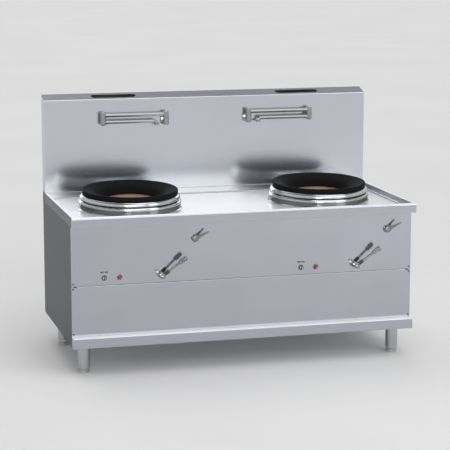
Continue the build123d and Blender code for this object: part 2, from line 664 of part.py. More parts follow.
def burner_head(side):
    """Cast head with a ring of jets round a raised boss."""
    x = burner_x(side)
    base = CHAMBER_FLOOR + CHAMBER_SHEET
    crown = base + HEAD_HEIGHT
    points = [
        (0, base + 12), (AIR_RADIUS - PIPE_WALL, base + 12), (AIR_RADIUS - PIPE_WALL, base), (HEAD_RADIUS, base),
        (HEAD_RADIUS, crown - 12), (HEAD_RADIUS - 8, crown), (34, crown), (26, crown + 8), (0, crown + 8),
    ]
    head = turned(points, (x, BURNER_Y, 0))
    jet = Cylinder(JET_RADIUS, JET_HEIGHT) - Cylinder(JET_RADIUS * 0.45, JET_HEIGHT)
    for place in PolarLocations(HEAD_RADIUS - 20, JET_COUNT):
        head += Pos(x, BURNER_Y, crown + JET_HEIGHT / 2) * place * jet
    return head


def pilot_burners():
    """A pilot tube and an electrode beside each burner head."""
    base = CHAMBER_FLOOR + CHAMBER_SHEET
    radius = (HEAD_RADIUS + LINING_HOLE_RADIUS) / 2
    group = Part()
    for side in SIDES:
        for angle, size in ((-60, PILOT_RADIUS), (-45, PILOT_RADIUS / 2)):
            x = burner_x(side) + radius * math.cos(math.radians(angle))
            y = BURNER_Y + radius * math.sin(math.radians(angle))
            group += rod(size, (x, y, base), (0, 0, 1), HEAD_HEIGHT + 22)
    return group


def flue_duct(side):
    """Duct from the chamber's port back into the splashback and up to the slot in its top."""
    x = burner_x(side)
    z = DECK_Z - PORT_DROP
    low = z - FLUE_HEIGHT / 2
    high = z + FLUE_HEIGHT / 2
    y0 = RISER_Y - FLUE_DEPTH / 2
    y1 = RISER_Y + FLUE_DEPTH / 2
    start = BURNER_Y + CHAMBER_RADIUS / 2
    outer = make_face(Polyline(
        (start, low), (y1, low), (y1, cap_under(y1)), (y0, cap_under(y0)), (y0, high), (start, high), close=True,
    ))
    t = DUCT_SHEET
    inner = make_face(Polyline(
        (start - 1, low + t), (y1 - t, low + t), (y1 - t, cap_under(y1) + 9), (y0 + t, cap_under(y0) + 9),
        (y0 + t, high - t), (start - 1, high - t), close=True,
    ))
    duct = along_x(outer, x - FLUE_WIDTH / 2, x + FLUE_WIDTH / 2)
    duct -= along_x(inner, x - FLUE_WIDTH / 2 + t, x + FLUE_WIDTH / 2 - t)
    return duct - rod(CHAMBER_RADIUS, (x, BURNER_Y, low - 1), (0, 0, 1), FLUE_HEIGHT + 2)


# ---------------------------------------------------------------- gas and air
def gas_valve(x):
    """Combined gas and air valve behind the panel, with its four connections."""
    start = PANEL_Y + PANEL_SHEET
    z = CONTROL_HEIGHT
    body = rod(VALVE_RADIUS, (x, start, z), (0, 1, 0), VALVE_LENGTH)
    body = fillet(body.edges().filter_by(GeomType.CIRCLE), 4)
    body += rod(MANIFOLD_RADIUS, (x, VALVE_Y, z), (0, 0, 1), MANIFOLD_Z - z)
    body += rod(AIR_RADIUS, (x, VALVE_Y, z), (0, 0, -1), AIR_DROP)
    body += rod(AIR_RADIUS, (x, start, z), (0, 1, 0), VALVE_LENGTH + 10)
    body -= rod(MANIFOLD_RADIUS, (x - 60, VALVE_Y, MANIFOLD_Z), (1, 0, 0), 120)
    return body - rod(SPINDLE_RADIUS + RUNNING_FIT, (x, start - 1, z), (0, 1, 0), SPINDLE_LENGTH + 3)


def gas_valves():
    return gas_valve(burner_x("left") + GAS_OFFSET) + gas_valve(burner_x("right") + GAS_OFFSET)


def inlet(end, pipe_radius, thread_radius, length):
    """Male end of a supply pipe: a shoulder, then the plain core of the thread."""
    x, y, z = end
    part = rod(pipe_radius, (x, y - 5, z), (0, 1, 0), 5) + rod(thread_radius, end, (0, 1, 0), length)
    return part - rod(thread_radius - THREAD_WALL, (x, y - 6, z), (0, 1, 0), length + 7)


def gas_manifold():
    """Gas pipe behind the controls, turning back to the inlet."""
    far = burner_x("left") + GAS_OFFSET - 60
    end = BACK - INLET_INSET - GAS_THREAD_LENGTH
    points = [(far, VALVE_Y, MANIFOLD_Z), (MANIFOLD_X, VALVE_Y, MANIFOLD_Z), (MANIFOLD_X, end, MANIFOLD_Z)]
    manifold = pipe(points, MANIFOLD_RADIUS, 3, 50)
    manifold += rod(MANIFOLD_RADIUS, (far, VALVE_Y, MANIFOLD_Z), (-1, 0, 0), 4)
    return manifold + inlet(points[-1], MANIFOLD_RADIUS, GAS_THREAD_RADIUS, GAS_THREAD_LENGTH)


def burner_air_pipes():
    """Blower to valve, and valve to burner, for each side."""
    group = Part()
    valve_end = PANEL_Y + PANEL_SHEET + VALVE_LENGTH + 10
    turn = valve_end + MIX_LEAD
    run = CONTROL_HEIGHT - MIX_DROP
    for side in SIDES:
        x = burner_x(side)
        gx = x + GAS_OFFSET
        outlet = x + BLOWER_OFFSET + SCROLL_RADIUS + OUTLET_REACH
        low = CONTROL_HEIGHT - AIR_DROP
        group += pipe([
            (outlet, SCROLL_MID_Y, OUTLET_Z), (gx, SCROLL_MID_Y, OUTLET_Z), (gx, VALVE_Y, OUTLET_Z), (gx, VALVE_Y, low),
        ], AIR_RADIUS, PIPE_WALL, 30)
        group += pipe([
            (gx, valve_end, CONTROL_HEIGHT), (gx, turn, CONTROL_HEIGHT), (gx, turn, run), (gx, BURNER_Y, run),
            (x, BURNER_Y, run), (x, BURNER_Y, CHAMBER_FLOOR),
        ], AIR_RADIUS, PIPE_WALL, 30)
    return group


def blower_housings():
    """Scroll housings on their stands, with an inlet in front, a shaft hole behind and a side outlet."""
    group = Part()
    y0 = SCROLL_Y
    y1 = SCROLL_Y + SCROLL_WIDTH
    t = SCROLL_SHEET
    for side in SIDES:
        x = burner_x(side) + BLOWER_OFFSET
        end = x + SCROLL_RADIUS + OUTLET_REACH
        low = SCROLL_Z - SCROLL_RADIUS
        shell = rod(SCROLL_RADIUS, (x, y0, SCROLL_Z), (0, 1, 0), SCROLL_WIDTH)
        shell += block(x, end, y0, y1, low, low + OUTLET_HEIGHT)
        shell += block(x - 50, x + 50, y0, y1, SHELF_TOP, SCROLL_Z)
        hollow = rod(SCROLL_RADIUS - t, (x, y0 + t, SCROLL_Z), (0, 1, 0), SCROLL_WIDTH - 2 * t)
        hollow += block(x, end - t, y0 + t, y1 - t, low + t, low + OUTLET_HEIGHT - t)
        shell -= hollow
        shell -= rod(SCROLL_INLET_RADIUS, (x, y0 - 1, SCROLL_Z), (0, 1, 0), t + 2)
        shell -= rod(SHAFT_RADIUS + 4, (x, y1 - t - 1, SCROLL_Z), (0, 1, 0), t + 2)
        shell -= rod(AIR_RADIUS - PIPE_WALL, (end - t - 1, SCROLL_MID_Y, OUTLET_Z), (1, 0, 0), t + 2)
        group += shell
    return group


def blower_motors():
    """Motors on the back walls of the housings, each with a foot on the shelf."""
    group = Part()
    y = SCROLL_Y + SCROLL_WIDTH
    for side in SIDES:
        x = burner_x(side) + BLOWER_OFFSET
        motor = rod(MOTOR_RADIUS, (x, y, SCROLL_Z), (0, 1, 0), MOTOR_LENGTH)
        motor = fillet(motor.edges().filter_by(GeomType.CIRCLE).sort_by(Axis.Y)[-1], 10)
        motor += block(x - 45, x + 45, y + 30, y + 100, SHELF_TOP, SCROLL_Z)
        group += motor - rod(SHAFT_RADIUS + RUNNING_FIT, (x, y - 1, SCROLL_Z), (0, 1, 0), SHAFT_LENGTH + 2)
    return group


def blower_impeller(side):
    """Radial wheel: back plate, canted blades, front shroud, hub and shaft."""
    x = burner_x(side) + BLOWER_OFFSET
    plate = 3.0
    back = SCROLL_Y + SCROLL_WIDTH - SCROLL_SHEET - 12
    front = back - IMPELLER_WIDTH
    wheel = rod(IMPELLER_RADIUS, (x, back - plate, SCROLL_Z), (0, 1, 0), plate)
    shroud = rod(IMPELLER_RADIUS, (x, front, SCROLL_Z), (0, 1, 0), plate)
    wheel += shroud - rod(IMPELLER_RADIUS - BLADE_DEPTH, (x, front - 1, SCROLL_Z), (0, 1, 0), plate + 2)
    blade = block(-BLADE_THICKNESS / 2, BLADE_THICKNESS / 2, front + plate, back - plate, -BLADE_DEPTH / 2, BLADE_DEPTH / 2)
    blade = Pos(0, 0, IMPELLER_RADIUS - BLADE_DEPTH / 2 - 2) * (Rot(0, BLADE_ANGLE, 0) * blade)
    for i in range(BLADE_COUNT):
        wheel += Pos(x, 0, SCROLL_Z) * (Rot(0, 360 * i / BLADE_COUNT, 0) * blade)
    wheel += rod(SHAFT_RADIUS * 2, (x, back - 24, SCROLL_Z), (0, 1, 0), 24)
    reach = SCROLL_Y + SCROLL_WIDTH + SHAFT_LENGTH - back
    return wheel + rod(SHAFT_RADIUS, (x, back, SCROLL_Z), (0, 1, 0), reach)


# ---------------------------------------------------------------- water
def water_valves():
    """Valve bodies behind the panel, between the supply pipe and the riser."""
    group = Part()
    start = PANEL_Y + PANEL_SHEET
    for side in SIDES:
        x = burner_x(side) + WATER_OFFSET
        body = rod(WATER_VALVE_RADIUS, (x, start, WATER_HEIGHT), (0, 1, 0), WATER_VALVE_LENGTH)
        body = fillet(body.edges().filter_by(GeomType.CIRCLE), 3)
        body += rod(WATER_RADIUS, (x, VALVE_Y, SUPPLY_Z), (0, 0, 1), WATER_SUPPLY_DROP + 30)
        body -= rod(WATER_RADIUS, (x - 30, VALVE_Y, SUPPLY_Z), (1, 0, 0), 60)
        group += body - rod(WATER_SPINDLE_RADIUS + RUNNING_FIT, (x, start - 1, WATER_HEIGHT), (0, 1, 0), 40)
    return group


def water_pipes():
    """Supply pipe from the inlet past both valves, and a riser from each valve to its tap."""
    far = burner_x("left") + WATER_OFFSET - 25
    end = BACK - INLET_INSET - WATER_THREAD_LENGTH
    points = [(far, VALVE_Y, SUPPLY_Z), (WATER_INLET_X, VALVE_Y, SUPPLY_Z), (WATER_INLET_X, end, SUPPLY_Z)]
    group = pipe(points, WATER_RADIUS, PIPE_WALL, 30)
    group += inlet(points[-1], WATER_RADIUS, WATER_THREAD_RADIUS, WATER_THREAD_LENGTH)
    group += rod(WATER_RADIUS, (far, VALVE_Y, SUPPLY_Z), (-1, 0, 0), 3)
    low = WATER_HEIGHT + 30
    turn = WATER_HEIGHT + WATER_RISER_RISE
    for side, tap in (("left", TAP_LEFT_X), ("right", TAP_RIGHT_X)):
        x = burner_x(side) + WATER_OFFSET
        points = [(x, VALVE_Y, low), (x, VALVE_Y, turn)]
        if abs(x - tap) > 100:
            points.append((tap, VALVE_Y, turn))
        points += [(tap, RISER_Y, turn), (tap, RISER_Y, SPOUT_Z + WATER_RADIUS + 4)]
        group += pipe(points, WATER_RADIUS, PIPE_WALL, 24)
    return group


# ---------------------------------------------------------------- controls
def gas_lever(side):
    """Spindle, hub, sleeve, rod and barrel grip of a gas and air lever."""
    x = burner_x(side) + GAS_OFFSET
    z = CONTROL_HEIGHT
    angle = math.radians(LEVER_ANGLE)
    way = (math.cos(angle), 0, math.sin(angle))
    arm_y = PANEL_Y - LEVER_STANDOFF
    hub = rod(LEVER_HUB_RADIUS, (x, PANEL_Y - HUB_GAP, z), (0, -1, 0), LEVER_HUB_LENGTH)
    hub = fillet(hub.edges().filter_by(GeomType.CIRCLE).sort_by(Axis.Y)[0], 3)
    hub -= rod(4, (x, PANEL_Y - HUB_GAP - LEVER_HUB_LENGTH, z), (0, 1, 0), 2)
    lever = hub + rod(SPINDLE_RADIUS, (x, PANEL_Y - HUB_GAP, z), (0, 1, 0), SPINDLE_LENGTH + HUB_GAP)
    lever += rod(LEVER_SLEEVE_RADIUS, (x, arm_y, z), way, LEVER_SLEEVE_LENGTH)
    lever += rod(LEVER_ROD_RADIUS, (x, arm_y, z), way, GRIP_START + GRIP_LENGTH / 2)
    start = (x + way[0] * GRIP_START, arm_y, z + way[2] * GRIP_START)
    grip = rod(GRIP_RADIUS, start, way, GRIP_LENGTH)
    grip = fillet(grip.edges().filter_by(GeomType.CIRCLE), 3)
    return lever + grip


def water_lever(side):
    """Round hub with a flat tapered lever that stands out to the upper right."""
    x = burner_x(side) + WATER_OFFSET
    z = WATER_HEIGHT
    y = PANEL_Y - HUB_GAP
    hub = rod(WATER_HUB_RADIUS, (x, y, z), (0, -1, 0), WATER_HUB_LENGTH)
    hub = fillet(hub.edges().filter_by(GeomType.CIRCLE).sort_by(Axis.Y)[0], 5)
    hub += rod(WATER_SPINDLE_RADIUS, (x, y, z), (0, 1, 0), 34)
    root = (x, y - WATER_HUB_LENGTH / 2, z)
    out = WATER_LEVER_OUT - HUB_GAP - WATER_HUB_LENGTH / 2
    tip = (x + WATER_LEVER_RUN, root[1] - out, z + WATER_LEVER_RISE)
    sections = []
    for place, half in ((root, WATER_BLADE_ROOT), (tip, WATER_BLADE_TIP)):
        cut = Plane(origin=place, x_dir=(-WATER_LEVER_RISE, 0, WATER_LEVER_RUN), z_dir=(WATER_LEVER_RUN, -out, WATER_LEVER_RISE))
        sections.append(cut * Ellipse(half, half * WATER_BLADE_FLATNESS))
    return hub + loft(sections) + Pos(*tip) * Sphere(WATER_BLADE_TIP + 0.8)


def control_bezels():
    """Bezels and barrels of the two switches and the two igniter buttons."""
    group = Part()
    for side in SIDES:
        for offset, bore in ((SWITCH_OFFSET, KNOB_SHAFT_RADIUS + RUNNING_FIT), (IGNITER_OFFSET, BUTTON_RADIUS + BUTTON_FIT)):
            x = burner_x(side) + offset
            bezel = rod(BEZEL_RADIUS, (x, PANEL_Y, CONTROL_HEIGHT), (0, -1, 0), BEZEL_THICKNESS)
            bezel += rod(BARREL_RADIUS, (x, PANEL_Y, CONTROL_HEIGHT), (0, 1, 0), BARREL_LENGTH)
            front = (x, PANEL_Y - BEZEL_THICKNESS - 1, CONTROL_HEIGHT)
            group += bezel - rod(bore, front, (0, 1, 0), BARREL_LENGTH + BEZEL_THICKNESS - 3)
    return group


def switch_knob(side):
    """Rotary knob with a finger grip across its face."""
    x = burner_x(side) + SWITCH_OFFSET
    y = PANEL_Y - BEZEL_THICKNESS - HUB_GAP / 2
    z = CONTROL_HEIGHT
    knob = rod(KNOB_RADIUS, (x, y, z), (0, -1, 0), KNOB_HEIGHT / 2)
    knob = fillet(knob.edges().filter_by(GeomType.CIRCLE).sort_by(Axis.Y)[0], 1.5)
    knob += block(x - 2.5, x + 2.5, y - KNOB_HEIGHT, y, z - KNOB_RADIUS + 1.5, z + KNOB_RADIUS - 1.5)
    return knob + rod(KNOB_SHAFT_RADIUS, (x, y, z), (0, 1, 0), BARREL_LENGTH - 8)


def igniter_button(side):
    """Domed push-button in its bezel."""
    x = burner_x(side) + IGNITER_OFFSET
    y = PANEL_Y - BEZEL_THICKNESS - BUTTON_HEIGHT
    button = rod(BUTTON_RADIUS, (x, y, CONTROL_HEIGHT), (0, 1, 0), BUTTON_HEIGHT + 14)
    return fillet(button.edges().filter_by(GeomType.CIRCLE).sort_by(Axis.Y)[0], 2.5)


# ---------------------------------------------------------------- taps
def tap_bracket(x):
    """Wall flange, inlet tail and column, with the pin that the arm turns on."""
    top = KNUCKLE_SPLIT
    low = SPOUT_Z - COLUMN_TAIL
    column = rod(COLUMN_RADIUS, (x, TAP_Y, low), (0, 0, 1), top - low)
    column = fillet(column.edges().filter_by(GeomType.CIRCLE).sort_by(Axis.Z)[0], 6)
    bracket = column + rod(TAP_FLANGE_RADIUS, (x, SPLASH_Y, SPOUT_Z), (0, -1, 0), TAP_FLANGE_THICKNESS)
    bracket += rod(WATER_RADIUS, (x, TAP_Y, SPOUT_Z), (0, 1, 0), RISER_Y - TAP_Y)
    bracket -= rod(WATER_RADIUS, (x, RISER_Y, SPOUT_Z - 40), (0, 0, 1), 80)
    return bracket + rod(TAP_PIN_RADIUS, (x, TAP_Y, top), (0, 0, 1), TAP_DROP / 2)


def tap_arm(x, sign):
    """Upper tube between the column and the knuckle, with the knuckle's pin."""
    knuckle = x + sign * TAP_REACH
    low = KNUCKLE_SPLIT + FACE_GAP
    high = TAP_ARM_HEIGHT + TAP_HUB_HALF
    arm = rod(TAP_HUB_RADIUS, (x, TAP_Y, low), (0, 0, 1), high - low)
    arm += rod(TAP_HUB_RADIUS, (knuckle, TAP_Y, low), (0, 0, 1), high - low)
    arm = fillet(arm.edges().filter_by(GeomType.CIRCLE).group_by(Axis.Z)[-1], 4)
    arm += rod(ARM_RADIUS, (x, TAP_Y, TAP_ARM_HEIGHT), (sign, 0, 0), TAP_REACH)
    arm -= rod(TAP_PIN_RADIUS + RUNNING_FIT, (x, TAP_Y, low - 1), (0, 0, 1), TAP_DROP / 2 + 2)
    return arm + rod(TAP_PIN_RADIUS, (knuckle, TAP_Y, low), (0, 0, -1), TAP_DROP / 2)


def tap_spout(x, sign):
    """Lower tube from the knuckle back to its turned-down outlet."""
    knuckle = x + sign * TAP_REACH
    outlet = knuckle - sign * SPOUT_REACH
    low = SPOUT_Z - TAP_HUB_HALF
    top = KNUCKLE_SPLIT
    spout = rod(TAP_HUB_RADIUS, (knuckle, TAP_Y, low), (0, 0, 1), top - low)
    spout = fillet(spout.edges().filter_by(GeomType.CIRCLE).sort_by(Axis.Z)[0], 4)
    end = SPOUT_Z - OUTLET_DROP
    path = FilletPolyline((knuckle, TAP_Y, SPOUT_Z), (outlet, TAP_Y, SPOUT_Z), (outlet, TAP_Y, end), radius=SPOUT_BEND)
    spout += sweep(Plane(path @ 0, z_dir=path % 0) * Circle(SPOUT_RADIUS), path=path)
    spout += rod(NOZZLE_RADIUS, (outlet, TAP_Y, end - 2), (0, 0, 1), NOZZLE_LENGTH)
    spout -= rod(SPOUT_RADIUS - 2, (outlet, TAP_Y, end - 3), (0, 0, 1), NOZZLE_LENGTH - 2)
    return spout - rod(TAP_PIN_RADIUS + RUNNING_FIT, (knuckle, TAP_Y, top + 1), (0, 0, -1), TAP_DROP / 2 + 2)


# ---------------------------------------------------------------- electrics
def control_box():
    """Box of the ignition and blower controls on the shelf."""
    y = BACK - 2 * PANEL_SHEET - POST - BOX_DEPTH
    outer = block(-BOX_WIDTH / 2, BOX_WIDTH / 2, y, y + BOX_DEPTH, SHELF_TOP, SHELF_TOP + BOX_HEIGHT)
    t = BOX_SHEET
    return outer - block(
        -BOX_WIDTH / 2 + t, BOX_WIDTH / 2 - t, y + t, y + BOX_DEPTH - t, SHELF_TOP + t, SHELF_TOP + BOX_HEIGHT - t
    )


def cable_gland():
    """Gland of the mains inlet in the back panel, bored for the cable."""
    y = BACK - PANEL_SHEET
    gland = rod(GLAND_RADIUS, (0, y, GLAND_Z), (0, -1, 0), 22)
    nut = extrude(RegularPolygon(GLAND_RADIUS + 5, 6), 8)
    gland += Plane(origin=(0, y - PANEL_SHEET, GLAND_Z), z_dir=(0, -1, 0)) * nut
    return gland - rod(GLAND_RADIUS - 4, (0, y + 1, GLAND_Z), (0, -1, 0), 30)


# ---------------------------------------------------------------- all pieces
def pieces():
    made = {
        "worktop_deck": worktop_deck(),
        "worktop_front_edge": worktop_front_edge(),
        "worktop_rear_edge": worktop_rear_edge(),
        "worktop_side_edges": worktop_side_edges(),
        "splashback_front": splashback_front(),
        "splashback_back": splashback_back(),
        "side_panel_left": side_panel(-1),
        "side_panel_right": side_panel(1),
        "rear_panel": rear_panel(),
        "bottom_shelf": bottom_shelf(),
        "control_panel": control_panel(),
        "access_panel": access_panel(),
        "toe_rail": toe_rail(),
        "panel_screws": panel_screws(),
        "frame_posts": frame_posts(),
        "frame_rails": frame_rails(),
        "legs": legs(),
        "gas_manifold": gas_manifold(),
        "gas_valves": gas_valves(),
        "burner_air_pipes": burner_air_pipes(),
        "blower_housings": blower_housings(),
        "blower_motors": blower_motors(),
        "pilot_burners": pilot_burners(),
        "water_valves": water_valves(),
        "water_pipes": water_pipes(),
        "control_bezels": control_bezels(),
        "control_box": control_box(),
        "cable_gland": cable_gland(),
    }
    for name, (x, y) in leg_places().items():
        made["foot_" + name] = foot(x, y)
    for side, sign in SIDES.items():
        tap = TAP_LEFT_X if side == "left" else TAP_RIGHT_X
        made["burner_collar_" + side] = burner_collar(side)
        made["wok_ring_" + side] = wok_ring(side)
        made["combustion_chamber_" + side] = combustion_chamber(side)
        made["fire_lining_" + side] = fire_lining(side)
        made["burner_head_" + side] = burner_head(side)
        made["flue_duct_" + side] = flue_duct(side)
        made["blower_impeller_" + side] = blower_impeller(side)
        made["gas_lever_" + side] = gas_lever(side)
        made["water_lever_" + side] = water_lever(side)
        made["switch_knob_" + side] = switch_knob(side)
        made["igniter_button_" + side] = igniter_button(side)
        made["tap_bracket_" + side] = tap_bracket(tap)
        made["tap_arm_" + side] = tap_arm(tap, sign)
        made["tap_spout_" + side] = tap_spout(tap, sign)
    return made


os.makedirs("parts", exist_ok=True)
for name, shape in pieces().items():
    export_step(shape, f"parts/{name}.step")
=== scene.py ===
# %% [markdown]
# # A double wok range in stainless steel
# The real object is a cook's range for two big woks: a folded steel body on four legs, two
# leaning burners with cast rings, a hollow splashback that is also the chimney, and two taps
# that fold away. The CAD model already holds every piece in its place. This lesson gives the
# pieces their finishes, adds the small things that CAD leaves plain, and sets light and camera.

# %% Load the frame
import json
import math

import bmesh
import bpy
from mathutils import Matrix, Vector

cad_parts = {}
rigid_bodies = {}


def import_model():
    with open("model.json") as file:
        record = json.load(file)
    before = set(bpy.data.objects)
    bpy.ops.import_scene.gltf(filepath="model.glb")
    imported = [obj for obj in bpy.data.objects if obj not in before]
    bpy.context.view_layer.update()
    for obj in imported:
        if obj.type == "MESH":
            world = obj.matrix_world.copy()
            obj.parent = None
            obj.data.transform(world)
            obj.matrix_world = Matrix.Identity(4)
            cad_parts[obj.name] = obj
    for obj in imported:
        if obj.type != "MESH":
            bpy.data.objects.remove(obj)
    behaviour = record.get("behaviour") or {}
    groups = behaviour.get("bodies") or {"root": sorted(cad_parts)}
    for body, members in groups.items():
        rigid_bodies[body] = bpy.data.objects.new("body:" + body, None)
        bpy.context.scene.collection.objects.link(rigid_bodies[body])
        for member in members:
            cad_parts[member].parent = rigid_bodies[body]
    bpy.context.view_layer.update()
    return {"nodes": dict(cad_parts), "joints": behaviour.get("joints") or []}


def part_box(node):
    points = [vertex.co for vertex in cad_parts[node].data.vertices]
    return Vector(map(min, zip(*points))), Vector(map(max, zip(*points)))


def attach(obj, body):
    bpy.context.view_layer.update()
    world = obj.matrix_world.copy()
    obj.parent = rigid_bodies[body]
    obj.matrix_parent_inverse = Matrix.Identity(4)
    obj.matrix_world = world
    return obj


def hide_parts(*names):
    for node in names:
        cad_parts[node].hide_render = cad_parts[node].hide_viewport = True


for leftover in list(bpy.data.objects):
    bpy.data.objects.remove(leftover)
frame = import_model()
nodes = frame["nodes"]
print("CAD nodes:", len(nodes))

# %% [markdown]
# ## Places to build on
# New pieces must sit where the CAD pieces are, so their places come from the boxes of those
# pieces and from the joints' own axes, not from typed numbers. The burners and the taps are
# named by side, and most of what follows is made once for each side.

# %% Read the main places
SIDES = ("left", "right")
joints = {j["name"]: j for j in frame["joints"]}
burner = {}
for side in SIDES:
    low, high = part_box(f"combustion_chamber_{side}")
    burner[side] = Vector(((low.x + high.x) / 2, (low.y + high.y) / 2, 0))
panel_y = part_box("control_panel")[0].y
deck_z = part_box("worktop_deck")[1].z
rim_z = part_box("worktop_front_edge")[1].z
splash_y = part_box("splashback_front")[0].y
print("burner axes:", {side: round(place.x, 3) for side, place in burner.items()})
print("panel", round(panel_y, 4), "deck", round(deck_z, 4), "rim", round(rim_z, 4))

# %% [markdown]
# ## Effects that several finishes share
# Sheet steel is brushed, cast iron is pebbly and everything in a kitchen has faint smears. Each
# of these could be painted into every material again. A node group is better: it is built once,
# has named inputs, and each material sets its own values.

# %% Node groups: the helper
def new_group(name, inputs, outputs):
    """An empty shader group with named sockets, and its input and output nodes."""
    group = bpy.data.node_groups.new(name, "ShaderNodeTree")
    for label, kind, value in inputs:
        socket = group.interface.new_socket(label, in_out="INPUT", socket_type=kind)
        socket.default_value = value
    for label in outputs:
        group.interface.new_socket(label, in_out="OUTPUT", socket_type="NodeSocketFloat")
    return group, group.nodes.new("NodeGroupInput"), group.nodes.new("NodeGroupOutput")


def object_place(tree):
    """The position on the object, in metres."""
    return tree.nodes.new("ShaderNodeTexCoord").outputs["Object"]


def add_math(group, operation, *values):
    """A math node; each value is a socket or a number."""
    node = group.nodes.new("ShaderNodeMath")
    node.operation = operation
    for socket, value in zip(node.inputs, values):
        if isinstance(value, float):
            socket.default_value = value
        else:
            group.links.new(value, socket)
    return node.outputs["Value"]


def add_noise(group, vector, scale, detail, roughness):
    """A noise texture fed by a vector socket."""
    noise = group.nodes.new("ShaderNodeTexNoise")
    noise.inputs["Scale"].default_value = scale
    noise.inputs["Detail"].default_value = detail
    noise.inputs["Roughness"].default_value = roughness
    group.links.new(vector, noise.inputs["Vector"])
    return noise.outputs["Fac"]


def add_range(group, value, low, high):
    """Maps the useful middle of a noise value to 0..1."""
    node = group.nodes.new("ShaderNodeMapRange")
    node.inputs["From Min"].default_value = low
    node.inputs["From Max"].default_value = high
    group.links.new(value, node.inputs["Value"])
    return node.outputs["Result"]


# %% Node group: brushed grain
def make_grain_group():
    """Fine parallel scratches: noise stretched by a vector of lines per metre."""
    group, start, end = new_group(
        "Brushed grain",
        [("Lines", "NodeSocketVector", (3.0, 400.0, 400.0)), ("Offset", "NodeSocketFloat", 0.0)],
        ["Grain"],
    )
    stretch = group.nodes.new("ShaderNodeVectorMath")
    stretch.operation = "MULTIPLY"
    shift = group.nodes.new("ShaderNodeVectorMath")
    shift.operation = "ADD"
    group.links.new(object_place(group), stretch.inputs[0])
    group.links.new(start.outputs["Lines"], stretch.inputs[1])
    group.links.new(stretch.outputs["Vector"], shift.inputs[0])
    group.links.new(start.outputs["Offset"], shift.inputs[1])
    fine = add_noise(group, shift.outputs["Vector"], 1.0, 3.0, 0.6)
    group.links.new(add_range(group, fine, 0.3, 0.7), end.inputs["Grain"])
    return group


grain_group = make_grain_group()
print("group:", grain_group.name)


# %% Node group: smears
def make_smear_group():
    """Soft blotches, as wiping leaves on steel and heat leaves on iron."""
    group, start, end = new_group(
        "Smears", [("Size", "NodeSocketFloat", 0.3), ("Sharpness", "NodeSocketFloat", 0.5)], ["Mask"]
    )
    noise = group.nodes.new("ShaderNodeTexNoise")
    noise.inputs["Detail"].default_value = 4.0
    group.links.new(object_place(group), noise.inputs["Vector"])
    group.links.new(add_math(group, "DIVIDE", 1.0, start.outputs["Size"]), noise.inputs["Scale"])
    group.links.new(start.outputs["Sharpness"], noise.inputs["Roughness"])
    group.links.new(add_range(group, noise.outputs["Fac"], 0.35, 0.65), end.inputs["Mask"])
    return group


smear_group = make_smear_group()
print("group:", smear_group.name)


# %% Node group: distance from a burner's axis
def make_heat_group():
    """1 at the burner's axis, falling to 0 at a radius, for soot and heat tints."""
    group, start, end = new_group(
        "Heat round a burner",
        [(label, "NodeSocketFloat", 0.3) for label in ("Half pitch", "Inner", "Outer")], ["Heat"],
    )
    split = group.nodes.new("ShaderNodeSeparateXYZ")
    group.links.new(object_place(group), split.inputs["Vector"])
    apart = add_math(group, "ABSOLUTE", split.outputs["X"])
    flat = group.nodes.new("ShaderNodeCombineXYZ")
    group.links.new(add_math(group, "SUBTRACT", apart, start.outputs["Half pitch"]), flat.inputs["X"])
    group.links.new(split.outputs["Y"], flat.inputs["Y"])
    length = group.nodes.new("ShaderNodeVectorMath")
    length.operation = "LENGTH"
    group.links.new(flat.outputs["Vector"], length.inputs[0])
    falloff = group.nodes.new("ShaderNodeMapRange")
    group.links.new(length.outputs["Value"], falloff.inputs["Value"])
    group.links.new(start.outputs["Outer"], falloff.inputs["From Min"])
    group.links.new(start.outputs["Inner"], falloff.inputs["From Max"])
    group.links.new(falloff.outputs["Result"], end.inputs["Heat"])
    return group


heat_group = make_heat_group()
print("group:", heat_group.name)

# %% [markdown]
# ## Finishes
# Each finish starts from the Principled shader. What is the same all over the surface is typed
# on the shader's own sockets; what changes over it, such as roughness along the grain, comes
# from the groups.

# %% Material helpers
def new_material(name, color, metallic, roughness):
    """A material with its Principled shader set, and the shader node."""
    material = bpy.data.materials.new(name)
    material.use_nodes = True
    shader = material.node_tree.nodes["Principled BSDF"]
    shader.inputs["Base Color"].default_value = (*color, 1.0)
    shader.inputs["Metallic"].default_value = metallic
    shader.inputs["Roughness"].default_value = roughness
    return material, shader


def use_group(material, group, **values):
    """Places a shared group in a material and sets its inputs."""
    node = material.node_tree.nodes.new("ShaderNodeGroup")
    node.node_tree = group
    for label, value in values.items():
        node.inputs[label.replace("_", " ")].default_value = value
    return node


def drive(material, output, label):
    """Links an output to a socket of the material's Principled shader."""
    tree = material.node_tree
    tree.links.new(output, tree.nodes["Principled BSDF"].inputs[label])


def vary(material, mask, low, high):
    """Drives the roughness between two values by a mask."""
    tree = material.node_tree
    node = tree.nodes.new("ShaderNodeMapRange")
    node.inputs["To Min"].default_value = low
    node.inputs["To Max"].default_value = high
    tree.links.new(mask, node.inputs["Value"])
    drive(material, node.outputs["Result"], "Roughness")


def tint(material, mask, first, second):
    """Mixes two colours by a mask into the base colour; first may be a socket."""
    tree = material.node_tree
    mix = tree.nodes.new("ShaderNodeMix")
    mix.data_type = "RGBA"
    tree.links.new(mask, mix.inputs["Factor"])
    for label, color in ((6, first), (7, second)):
        if isinstance(color, tuple):
            mix.inputs[label].default_value = (*color, 1.0)
        else:
            tree.links.new(color, mix.inputs[label])
    drive(material, mix.outputs[2], "Base Color")
    return mix.outputs[2]


def emboss(material, height, distance, strength=1.0):
    """Bumps the surface by a height mask."""
    tree = material.node_tree
    bump = tree.nodes.new("ShaderNodeBump")
    bump.inputs["Distance"].default_value = distance
    bump.inputs["Strength"].default_value = strength
    tree.links.new(height, bump.inputs["Height"])
    drive(material, bump.outputs["Normal"], "Normal")


